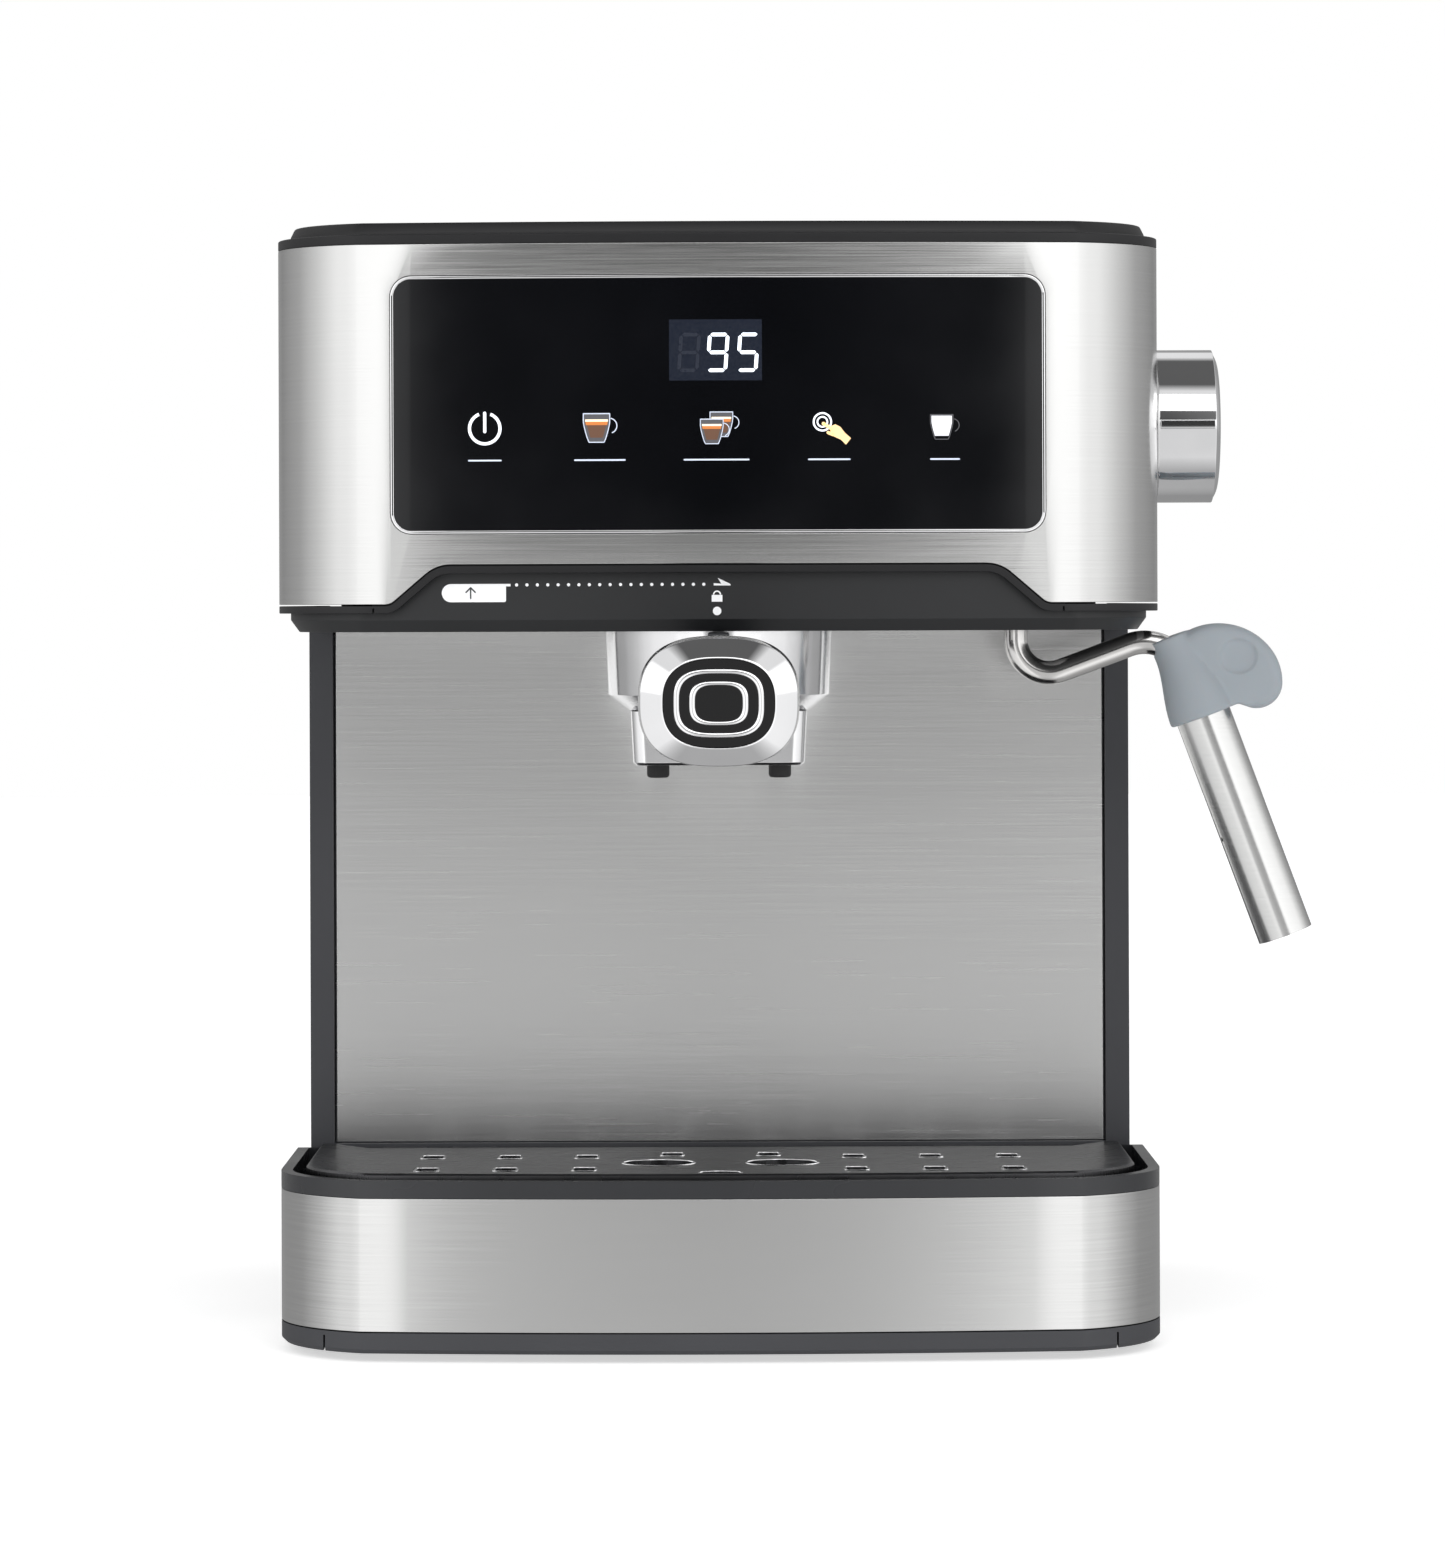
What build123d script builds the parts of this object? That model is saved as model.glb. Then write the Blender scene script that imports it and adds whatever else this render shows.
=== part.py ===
from build123d import *

import math
import os

# Pump espresso machine, in millimetres. X is to the machine's left-right with +X on the steam side,
# -Y is the front, Z is up. The origin is on the counter, at the middle of the body's footprint.

# Body plan: side walls, rounded front corners and a gently bowed front
BODY_HALF = 126.0
FRONT_Y = -140.0
CORNER_R = 42.0
CORNER_START_Y = -96.0
CREASE_X = 101.3
COLUMN_FRONT_Y = -25.0
COLUMN_REAR_Y = 92.0
COLUMN_HALF = 122.2
TANK_FRONT_Y = 94.0
TANK_REAR_Y = 140.0
TANK_HALF = 116.0
GAP = 0.3  # clearance between parts that move apart

# Heights of the stack, from the counter up
FOOT_H = 2.5
BASE_TOP = 8.4
TRAY_STEEL_TOP = 46.2
TRAY_RIM_TOP = 51.2
GRILLE_TOP = 52.6
SEAT_TOP = 108.0
HEAD_BOTTOM = 205.3
CHAMFER_TOP = 208.7
TRIM_BOTTOM = 210.9
STEEL_BOTTOM = 213.1
NOTCH_TOP = 224.3
STEEL_TOP = 314.3
LID_FLANGE_TOP = 317.1
LID_TOP = 320.6

# Sheet and wall thicknesses
SHEET = 1.2
WALL = 2.4
COVER_INSET = 3.3

# Control panel
PANEL_HALF = 91.1
PANEL_LOW = 233.8
PANEL_HIGH = 304.4
PANEL_CORNER = 5.0
BEZEL = 0.9

# Group, portafilter and its handle
GROUP_Y = -82.0
BOWL_R = 32.7
BOWL_TOP = 216.0
BOWL_BOTTOM = 182.3
BASKET_R = 27.0
LUG_R = 36.5
HANDLE_DROP = 3.12  # degrees below level
HANDLE_ROOT_Z = 194.3
HANDLE_START = 36.0
CAP_START = 131.4
CAP_END = 143.2
CAP_W = 43.4
CAP_H = 35.2

# Steam wand, in the plane y = WAND_Y
WAND_X = 85.7
WAND_Y = -90.0
WAND_BALL_Z = 212.0
TUBE_R = 3.4
SLEEVE_R = 8.0
SLEEVE_TILT = 20.4  # degrees from the vertical
SLEEVE_TOP = (139.3, 181.0)
SLEEVE_LEN = 68.0

# Steam knob on the right side
KNOB_Y = -65.0
KNOB_Z = 264.3
KNOB_R = 22.25

os.makedirs("parts", exist_ok=True)


def save(piece, name):
    """Label a finished piece and write it as its own file."""
    piece.label = name
    export_step(piece, f"parts/{name}.step")


def plan_at(height, rear_y, inset=0.0):
    """The body's plan outline at a height, shrunk by an inset."""
    centre_x = BODY_HALF - CORNER_R
    sweep_angle = math.acos((CREASE_X - centre_x) / CORNER_R)
    crease_y = CORNER_START_Y - CORNER_R * math.sin(sweep_angle)
    mid_x = centre_x + CORNER_R * math.cos(sweep_angle / 2)
    mid_y = CORNER_START_Y - CORNER_R * math.sin(sweep_angle / 2)
    with BuildSketch(Plane.XY.offset(height)) as plan:
        with BuildLine():
            ThreePointArc((-CREASE_X, crease_y), (0, FRONT_Y), (CREASE_X, crease_y))
            ThreePointArc((CREASE_X, crease_y), (mid_x, mid_y), (BODY_HALF, CORNER_START_Y))
            Polyline(
                (BODY_HALF, CORNER_START_Y),
                (BODY_HALF, rear_y + inset),
                (-BODY_HALF, rear_y + inset),
                (-BODY_HALF, CORNER_START_Y),
            )
            ThreePointArc((-BODY_HALF, CORNER_START_Y), (-mid_x, mid_y), (-CREASE_X, crease_y))
        make_face()
        if inset:
            offset(amount=-inset, kind=Kind.INTERSECTION)
    return plan.sketch


def tapered_plan(low, high, rear_y, low_inset, high_inset, mode=Mode.ADD):
    """A slab of the body's plan whose inset changes evenly from its low to its high face."""
    sections = [plan_at(low, rear_y, low_inset), plan_at(high, rear_y, high_inset)]
    return loft(sections, ruled=True, mode=mode)


def box_plan(height, x_range, y_range, corner=0.0):
    """A rectangle in plan at a height, with optional round corners."""
    x_mid = (x_range[0] + x_range[1]) / 2
    y_mid = (y_range[0] + y_range[1]) / 2
    with BuildSketch(Plane.XY.offset(height)) as plan:
        with Locations((x_mid, y_mid)):
            Rectangle(x_range[1] - x_range[0], y_range[1] - y_range[0])
        if corner:
            fillet(plan.vertices(), radius=corner)
    return plan.sketch


def box_between(low, high):
    """A box from its lowest to its highest corner, in the current part."""
    return extrude(box_plan(low[2], (low[0], high[0]), (low[1], high[1])), amount=high[2] - low[2])


def cut_between(low, high):
    """Cut a box from its lowest to its highest corner out of the current part."""
    plan = box_plan(low[2], (low[0], high[0]), (low[1], high[1]))
    return extrude(plan, amount=high[2] - low[2], mode=Mode.SUBTRACT)


def above_notch(drop):
    """Front view of all that lies above the steel's lower edge, lowered by a drop."""
    with BuildSketch(Plane.XZ) as region:
        with BuildLine():
            Polyline(
                (-200, STEEL_BOTTOM),
                (-92.3, STEEL_BOTTOM),
                (-79.2, NOTCH_TOP),
                (79.2, NOTCH_TOP),
                (92.3, STEEL_BOTTOM),
                (200, STEEL_BOTTOM),
                (200, 420),
                (-200, 420),
                close=True,
            )
        make_face()
        notch_corners = region.vertices().filter_by_position(Axis.Y, NOTCH_TOP - 1, NOTCH_TOP + 1)
        fillet(notch_corners, radius=11)
        toe_corners = region.vertices().filter_by_position(Axis.X, -100, 100)
        fillet(toe_corners.filter_by_position(Axis.Y, STEEL_BOTTOM - 1, STEEL_BOTTOM + 1), radius=4)
        if drop:
            offset(amount=drop, kind=Kind.INTERSECTION)
    return region.sketch


def panel_outline(grow=0.0):
    """Front view of the control panel's outline."""
    with BuildSketch(Plane.XZ) as outline:
        with Locations((0, (PANEL_LOW + PANEL_HIGH) / 2)):
            RectangleRounded(
                2 * (PANEL_HALF + grow),
                PANEL_HIGH - PANEL_LOW + 2 * grow,
                PANEL_CORNER + grow,
            )
    return outline.sketch


def ring_plan(height, outer, inner, x=0.0, y=0.0):
    """A flat ring in plan at a height."""
    with BuildSketch(Plane.XY.offset(height)) as plan:
        with Locations((x, y)):
            Circle(outer)
            Circle(inner, mode=Mode.SUBTRACT)
    return plan.sketch


def disc_plan(height, radius, x=0.0, y=0.0):
    """A disc in plan at a height."""
    with BuildSketch(Plane.XY.offset(height)) as plan:
        with Locations((x, y)):
            Circle(radius)
    return plan.sketch


def tube_along(points, radii, tube_r, bore_r=0.0):
    """A tube whose centre line is straight runs joined by tangent arcs."""
    with BuildLine() as route:
        FilletPolyline(*points, radius=radii)
    start = Plane(origin=route.line @ 0, z_dir=route.line % 0)
    with BuildPart() as tube:
        with BuildSketch(start) as section:
            Circle(tube_r)
            if bore_r:
                Circle(bore_r, mode=Mode.SUBTRACT)
        sweep(section.sketch, path=route.line)
    return tube.part


# ---------------------------------------------------------------- base

FOOT_SPOTS = [(x, y) for x in (-96.0, 96.0) for y in (-98.0, 108.0)]
FOOT_R = 8.0
BOSS_SPOTS = [(x, y) for x in (-106.0, 106.0) for y in (0.0, 84.0)]
PUMP_Y = 30.0
PUMP_Z = 48.0
PUMP_ENDS = (-40.0, 36.0)  # X of the two rubber mounts

with BuildPart() as base_plate:
    extrude(plan_at(FOOT_H, TANK_REAR_Y - 2), amount=BASE_TOP - FOOT_H)
    rear_posts = base_plate.edges().filter_by(Axis.Z).group_by(Axis.Y)[-1]
    fillet(rear_posts, radius=22)
    chamfer(base_plate.faces().sort_by(Axis.Z)[0].edges(), length=1.2)
    for x, y in FOOT_SPOTS:
        extrude(disc_plan(FOOT_H, FOOT_R + 0.2, x, y), amount=0.8, mode=Mode.SUBTRACT)
        extrude(disc_plan(FOOT_H, 4.0, x, y), amount=3.4, mode=Mode.SUBTRACT)
    for x, y in BOSS_SPOTS:
        extrude(disc_plan(FOOT_H, 4.2, x, y), amount=2.6, mode=Mode.SUBTRACT)
        extrude(disc_plan(FOOT_H, 2.1, x, y), amount=BASE_TOP, mode=Mode.SUBTRACT)
    for x in (-112.0, 112.0):
        cut_between((x - 0.25, FRONT_Y - 5, FOOT_H - 1), (x + 0.25, FRONT_Y + 60, FOOT_H + 4.6))
    for x in PUMP_ENDS:
        box_between((x - 4, PUMP_Y - 17, BASE_TOP - 1), (x + 4, PUMP_Y + 17, PUMP_Z + 16))
    with Locations(Plane(origin=(0, PUMP_Y, PUMP_Z), z_dir=(1, 0, 0))):
        Cylinder(12.2, 120, mode=Mode.SUBTRACT)
save(base_plate.part, "base_plate")

with BuildPart() as rubber_feet:
    for x, y in FOOT_SPOTS:
        extrude(disc_plan(0, FOOT_R, x, y), amount=FOOT_H + 0.7)
        extrude(disc_plan(FOOT_H + 0.7, 3.9, x, y), amount=2.5)
    chamfer(rubber_feet.faces().filter_by(Axis.Z).group_by(Axis.Z)[0].edges(), length=0.6)
save(rubber_feet.part, "rubber_feet")

# ---------------------------------------------------------------- column

PILLAR_INNER = 115.2
SPLASH_Y = -21.3  # back face of the backsplash sheet
LOWER_REAR_Y = 134.0
COUPLING = (-60.0, 114.0)
CORD_X = 88.0
CORD_Z = 30.0
COVER_SCREWS = [(x, z) for x in (-113.0, 113.0) for z in (120.0, 194.0, 300.0)]
COLUMN_INNER = COLUMN_HALF - WALL


def column_profile(inset):
    """Side view of the column, with the tank's shelf behind it, shrunk by an inset."""
    with BuildSketch(Plane.YZ) as profile:
        with BuildLine():
            Polyline(
                (COLUMN_FRONT_Y, BASE_TOP),
                (LOWER_REAR_Y, BASE_TOP),
                (LOWER_REAR_Y, SEAT_TOP),
                (COLUMN_REAR_Y, SEAT_TOP),
                (COLUMN_REAR_Y, HEAD_BOTTOM),
                (COLUMN_FRONT_Y, HEAD_BOTTOM),
                close=True,
            )
        make_face()
        if inset:
            offset(amount=-inset, kind=Kind.INTERSECTION)
    return profile.sketch


def column_block(inset):
    """The column's outer form, with round rear corners on its lower part, shrunk by an inset."""
    with BuildPart() as block:
        extrude(column_profile(inset), amount=COLUMN_HALF - inset, both=True)
        fillet(block.edges().filter_by(Axis.Z).group_by(Axis.Y)[-1], radius=18 - inset)
    return block.part


with BuildPart() as column_housing:
    add(column_block(0))
    add(column_block(WALL), mode=Mode.SUBTRACT)
    add(column_block(WALL).moved(Location((0, 0, -WALL - 1))), mode=Mode.SUBTRACT)
    seat_y = (COLUMN_REAR_Y - 12, LOWER_REAR_Y - WALL)
    seat = box_plan(SEAT_TOP - WALL, (-COLUMN_INNER, COLUMN_INNER), seat_y, 18 - WALL)
    extrude(seat, amount=WALL)
    cut_between(
        (-COLUMN_INNER, 0, SEAT_TOP - WALL),
        (COLUMN_INNER, COLUMN_REAR_Y - 2.8, SEAT_TOP),
    )
    cut_between(
        (-COLUMN_INNER, SPLASH_Y + WALL, SEAT_TOP),
        (COLUMN_INNER, 120.0, HEAD_BOTTOM + 1),
    )
    box_between(
        (-COLUMN_INNER, COLUMN_FRONT_Y, BASE_TOP),
        (COLUMN_INNER, SPLASH_Y + WALL + GAP, HEAD_BOTTOM),
    )
    cut_between((-PILLAR_INNER, -40, TRAY_RIM_TOP + 1), (PILLAR_INNER, SPLASH_Y, 210))
    for x, y in BOSS_SPOTS:
        rib_x = sorted((math.copysign(110.5, x), math.copysign(120.5, x)))
        box_between((rib_x[0], y - 1.5, BASE_TOP), (rib_x[1], y + 1.5, BASE_TOP + 14))
        extrude(ring_plan(BASE_TOP, 5.5, 1.9, x, y), amount=14)
    for x, z in COVER_SCREWS[:2] + COVER_SCREWS[3:5]:
        side = math.copysign(1, x)
        box_between(
            (min(x - 5, side * (COLUMN_INNER + 0.1)), COLUMN_REAR_Y - 14, z - 5),
            (max(x + 5, side * (COLUMN_INNER + 0.1)), COLUMN_REAR_Y - 2.9, z + 5),
        )
    with Locations(*[Plane((x, COLUMN_REAR_Y - 9, z), z_dir=(0, 1, 0)) for x, z in COVER_SCREWS]):
        Cylinder(1.5, 16, mode=Mode.SUBTRACT)
    extrude(disc_plan(SEAT_TOP - 5, 11.3, *COUPLING), amount=10, mode=Mode.SUBTRACT)
    with Locations(Plane((CORD_X, LOWER_REAR_Y, CORD_Z), z_dir=(0, 1, 0))):
        Cylinder(7.2, 20, mode=Mode.SUBTRACT)
save(column_housing.part, "column_housing")

with BuildPart() as backsplash:
    box_between(
        (-PILLAR_INNER + 0.2, SPLASH_Y - SHEET, TRAY_RIM_TOP + 1.2),
        (PILLAR_INNER - 0.2, SPLASH_Y, HEAD_BOTTOM - 0.2),
    )
    front_sides = backsplash.edges().filter_by(Axis.Z).group_by(Axis.Y)[0]
    chamfer(front_sides, length=0.5)
save(backsplash.part, "backsplash")

with BuildPart() as rear_cover:
    box_between((-119.5, COLUMN_REAR_Y - 2.6, SEAT_TOP + 0.4), (119.5, COLUMN_REAR_Y - 0.2, 313.9))
    box_between((-122.7, COLUMN_REAR_Y - 2.6, 214.0), (122.7, COLUMN_REAR_Y - 0.2, 313.9))
    with Locations(*[Plane((x, COLUMN_REAR_Y, z), z_dir=(0, 1, 0)) for x, z in COVER_SCREWS]):
        Cylinder(1.7, 12, mode=Mode.SUBTRACT)
    for step in range(12):
        low_z = 225.0 + 6 * step
        cut_between((-50, 80, low_z), (50, 100, low_z + 2.5))
save(rear_cover.part, "rear_cover")

with BuildPart() as case_screws:
    for x, y in BOSS_SPOTS:
        extrude(disc_plan(FOOT_H + 0.3, 3.8, x, y), amount=2.2)
        extrude(disc_plan(FOOT_H + 2.5, 1.8, x, y), amount=14)
    for x, z in COVER_SCREWS:
        with BuildSketch(Plane((x, COLUMN_REAR_Y - 0.2, z), z_dir=(0, 1, 0))) as head_face:
            Circle(3.2)
        extrude(head_face.sketch, amount=1.6)
        with BuildSketch(Plane((x, COLUMN_REAR_Y - 0.2, z), z_dir=(0, -1, 0))) as shank_face:
            Circle(1.4)
        extrude(shank_face.sketch, amount=12)
save(case_screws.part, "case_screws")

with BuildPart() as cord_inlet:
    with BuildSketch(Plane((CORD_X, LOWER_REAR_Y - 5, CORD_Z), z_dir=(0, 1, 0))) as bush:
        Circle(7.0)
        Circle(3.6, mode=Mode.SUBTRACT)
    extrude(bush.sketch, amount=6.5)
    with BuildSketch(Plane((CORD_X, LOWER_REAR_Y + 0.1, CORD_Z), z_dir=(0, 1, 0))) as flange:
        Circle(9.0)
        Circle(3.6, mode=Mode.SUBTRACT)
    extrude(flange.sketch, amount=1.8)
save(cord_inlet.part, "cord_inlet")

# ---------------------------------------------------------------- head

GROUP_HOLE_R = 43.2
WAND_HOLE_R = 12.0

with BuildPart() as head_lower_cover:
    cover_rear_y = COLUMN_REAR_Y - 0.4
    tapered_plan(HEAD_BOTTOM, CHAMFER_TOP, cover_rear_y, COVER_INSET + 2.5, COVER_INSET)
    extrude(plan_at(CHAMFER_TOP, cover_rear_y, COVER_INSET), amount=20.6)
    cut_between((-140, -112, TRIM_BOTTOM + 1.5), (140, 120, 240))
    cut_between((-140, -160, TRIM_BOTTOM + 1.5), (-97.5, 120, 240))
    cut_between((97.5, -160, TRIM_BOTTOM + 1.5), (140, 120, 240))
    extrude(
        plan_at(HEAD_BOTTOM + WALL, 120, COVER_INSET + WALL),
        amount=40,
        mode=Mode.SUBTRACT,
    )
    extrude(disc_plan(HEAD_BOTTOM - 1, GROUP_HOLE_R, 0, GROUP_Y), amount=6, mode=Mode.SUBTRACT)
    extrude(disc_plan(HEAD_BOTTOM - 1, WAND_HOLE_R, WAND_X, WAND_Y), amount=6, mode=Mode.SUBTRACT)
    cut_between(
        (-COLUMN_INNER - 0.1, -12, HEAD_BOTTOM - 1),
        (COLUMN_INNER + 0.1, 120, HEAD_BOTTOM + 6),
    )
save(head_lower_cover.part, "head_lower_cover")

with BuildPart() as head_trim:
    extrude(plan_at(200, COLUMN_REAR_Y - 2), amount=50)
    extrude(plan_at(200, 120, COVER_INSET - GAP), amount=50, mode=Mode.SUBTRACT)
    extrude(above_notch(2.5), amount=200, both=True, mode=Mode.INTERSECT)
    extrude(above_notch(0.4), amount=200, both=True, mode=Mode.SUBTRACT)
    for side in (-1, 1):
        cut_between((side * 97 - 0.2, -160, 200), (side * 97 + 0.2, -100, 212.0))
save(head_trim.part, "head_trim")

WINDOW_GROW = BEZEL + 0.15

with BuildPart() as head_wrap:
    extrude(plan_at(200, COLUMN_REAR_Y - 2), amount=STEEL_TOP - 200)
    extrude(plan_at(200, 120, SHEET), amount=STEEL_TOP - 200, mode=Mode.SUBTRACT)
    extrude(above_notch(0), amount=200, both=True, mode=Mode.INTERSECT)
    extrude(panel_outline(WINDOW_GROW), amount=200, mode=Mode.SUBTRACT)
    with Locations(Plane((BODY_HALF, KNOB_Y, KNOB_Z), z_dir=(1, 0, 0))):
        Cylinder(7.0, 10, mode=Mode.SUBTRACT)
save(head_wrap.part, "head_wrap")

FRAME_OUT = SHEET + GAP
FRAME_IN = FRAME_OUT + 1.5

with BuildPart() as head_frame:
    extrude(plan_at(200, COLUMN_REAR_Y - 3, FRAME_OUT), amount=STEEL_TOP - 0.3 - 200)
    extrude(plan_at(200, 120, FRAME_IN), amount=STEEL_TOP - 200, mode=Mode.SUBTRACT)
    extrude(above_notch(-0.6), amount=200, both=True, mode=Mode.INTERSECT)
    extrude(panel_outline(WINDOW_GROW + 0.2), amount=200, mode=Mode.SUBTRACT)
    with Locations(Plane((BODY_HALF, KNOB_Y, KNOB_Z), z_dir=(1, 0, 0))):
        Cylinder(7.0, 10, mode=Mode.SUBTRACT)
    for x, z in (COVER_SCREWS[2], COVER_SCREWS[5]):
        side = math.copysign(1, x)
        box_between(
            (min(x - 5, side * 123.5), COLUMN_REAR_Y - 14, z - 5),
            (max(x + 5, side * 123.5), COLUMN_REAR_Y - 3, z + 5),
        )
        with Locations(Plane((x, COLUMN_REAR_Y - 9, z), z_dir=(0, 1, 0))):
            Cylinder(1.5, 16, mode=Mode.SUBTRACT)
save(head_frame.part, "head_frame")

# ---------------------------------------------------------------- control panel

DISPLAY_X = (-13.9, 12.7)
DISPLAY_Z = (275.3, 293.0)
KEY_X = (-65.4, -33.1, -0.4, 31.2, 63.7)
KEY_Z = 262.4


def bowed_slab(outer_inset, inner_inset, outline):
    """The part of the bowed front wall between two insets that lies inside an outline."""
    with BuildPart() as slab:
        extrude(plan_at(PANEL_LOW - 6, -60, outer_inset), amount=PANEL_HIGH - PANEL_LOW + 12)
        extrude(plan_at(PANEL_LOW - 6, -60, inner_inset), amount=100, mode=Mode.SUBTRACT)
        cut_between((-140, -110, 200), (140, 0, 340))
        extrude(outline, amount=200, both=True, mode=Mode.INTERSECT)
    return slab.part


with BuildPart() as panel_glass:
    add(bowed_slab(0.15, 1.75, panel_outline(-0.05)))
save(panel_glass.part, "panel_glass")

with BuildPart() as panel_bezel:
    add(bowed_slab(-0.15, 2.4, panel_outline(BEZEL)))
    extrude(panel_outline(0), amount=200, both=True, mode=Mode.SUBTRACT)
save(panel_bezel.part, "panel_bezel")

with BuildPart() as panel_carrier:
    add(bowed_slab(1.9, FRAME_IN + 1.8, panel_outline(-1.5)))
    add(bowed_slab(FRAME_IN + 0.2, FRAME_IN + 1.8, panel_outline(3.0)))
    cut_between((DISPLAY_X[0], -160, DISPLAY_Z[0]), (DISPLAY_X[1], -120, DISPLAY_Z[1]))
    with Locations(*[Plane((x, FRONT_Y, KEY_Z), z_dir=(0, -1, 0)) for x in KEY_X]):
        Cylinder(8, 30, mode=Mode.SUBTRACT)
save(panel_carrier.part, "panel_carrier")

BOARD_FRONT_Y = -128.5

with BuildPart() as display_module:
    box_between(
        (DISPLAY_X[0] + 0.3, FRONT_Y + 2.4, DISPLAY_Z[0] + 0.3),
        (DISPLAY_X[1] - 0.3, BOARD_FRONT_Y - 0.1, DISPLAY_Z[1] - 0.3),
    )
save(display_module.part, "display_module")

with BuildPart() as control_board:
    box_between((-78, BOARD_FRONT_Y, 244), (78, BOARD_FRONT_Y + 1.6, 300))
    for x in KEY_X:
        with Locations(Plane((x, BOARD_FRONT_Y - 3.2, KEY_Z), z_dir=(0, -1, 0))):
            Cylinder(4.5, 6.6)
    box_between((-30, BOARD_FRONT_Y + 1.4, 280), (-12, BOARD_FRONT_Y + 5, 290))
    box_between((10, BOARD_FRONT_Y + 1.4, 276), (24, BOARD_FRONT_Y + 4, 290))
save(control_board.part, "control_board")

# ---------------------------------------------------------------- top

PLATE_INSET = 12.0

with BuildPart() as top_cover:
    extrude(plan_at(STEEL_TOP, COLUMN_REAR_Y), amount=LID_FLANGE_TOP - STEEL_TOP)
    extrude(plan_at(LID_FLANGE_TOP, COLUMN_REAR_Y, 3.6), amount=1.1)
    tapered_plan(LID_FLANGE_TOP + 1.1, LID_TOP, COLUMN_REAR_Y, 3.6, 4.8)
    extrude(plan_at(STEEL_TOP, COLUMN_REAR_Y - 3, FRAME_IN), amount=1.2, mode=Mode.SUBTRACT)
    extrude(plan_at(LID_TOP - 2.0, COLUMN_REAR_Y - 8, PLATE_INSET), amount=3, mode=Mode.SUBTRACT)
save(top_cover.part, "top_cover")

with BuildPart() as cup_warming_plate:
    extrude(plan_at(LID_TOP - 2.0, COLUMN_REAR_Y - 8.4, PLATE_INSET + 0.4), amount=SHEET)
    for row in range(5):
        for column in range(7):
            x = 26.0 * (column - 3)
            y = 28.0 * (row - 2) - 24.0
            with BuildSketch(Plane.XY.offset(LID_TOP - 3)) as slot:
                with Locations((x, y)):
                    SlotOverall(18, 3.2)
            extrude(slot.sketch, amount=4, mode=Mode.SUBTRACT)
save(cup_warming_plate.part, "cup_warming_plate")

# ---------------------------------------------------------------- water tank

TANK_BOTTOM = SEAT_TOP + GAP
TANK_TOP = 314.0
TANK_WALL = 2.2
WELL_TOP = TANK_BOTTOM + 15.0  # the valve's well stands up inside the tank
LID_HINGE = (140.2, 315.2)  # Y and Z of the lid's hinge line
HINGE_R = 1.0

with BuildPart() as water_tank:
    tank_y = (TANK_FRONT_Y + GAP, TANK_REAR_Y)
    tank_plan = box_plan(TANK_BOTTOM, (-TANK_HALF, TANK_HALF), tank_y)
    extrude(tank_plan, amount=TANK_TOP - TANK_BOTTOM)
    fillet(water_tank.edges().filter_by(Axis.Z).group_by(Axis.Y)[-1], radius=20)
    fillet(water_tank.edges().filter_by(Axis.Z).group_by(Axis.Y)[0], radius=4)
    rim = water_tank.faces().sort_by(Axis.Z)[-1]
    offset(amount=-TANK_WALL, openings=rim)
    extrude(disc_plan(TANK_BOTTOM, 8.0, *COUPLING), amount=WELL_TOP - TANK_BOTTOM)
    extrude(disc_plan(TANK_BOTTOM + 2.5, 6.0, *COUPLING), amount=20, mode=Mode.SUBTRACT)
    extrude(disc_plan(TANK_BOTTOM - 1, 3.2, *COUPLING), amount=10, mode=Mode.SUBTRACT)
    box_between(
        (COUPLING[0] - 7, COUPLING[1] - 1.5, WELL_TOP - 1.5),
        (COUPLING[0] + 7, COUPLING[1] + 1.5, WELL_TOP),
    )
save(water_tank.part, "water_tank")

PLUNGER_LOW = TANK_BOTTOM + 1.2
PLUNGER_HEAD_Z = TANK_BOTTOM + 2.8
SPRING_LOW = PLUNGER_HEAD_Z + 2.1
SPRING_HIGH = WELL_TOP - 1.7

with BuildPart() as tank_valve_plunger:
    extrude(disc_plan(PLUNGER_LOW, 1.8, *COUPLING), amount=6.5)
    extrude(disc_plan(PLUNGER_HEAD_Z, 4.8, *COUPLING), amount=2.0)
save(tank_valve_plunger.part, "tank_valve_plunger")

with BuildPart() as tank_valve_spring:
    spring_turns = Helix(pitch=1.9, height=SPRING_HIGH - SPRING_LOW - 1.0, radius=3.6)
    spring_path = spring_turns.moved(Location((COUPLING[0], COUPLING[1], SPRING_LOW + 0.5)))
    with BuildSketch(Plane(origin=spring_path @ 0, z_dir=spring_path % 0)) as wire:
        Circle(0.4)
    sweep(wire.sketch, path=spring_path, is_frenet=True)
save(tank_valve_spring.part, "tank_valve_spring")

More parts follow.
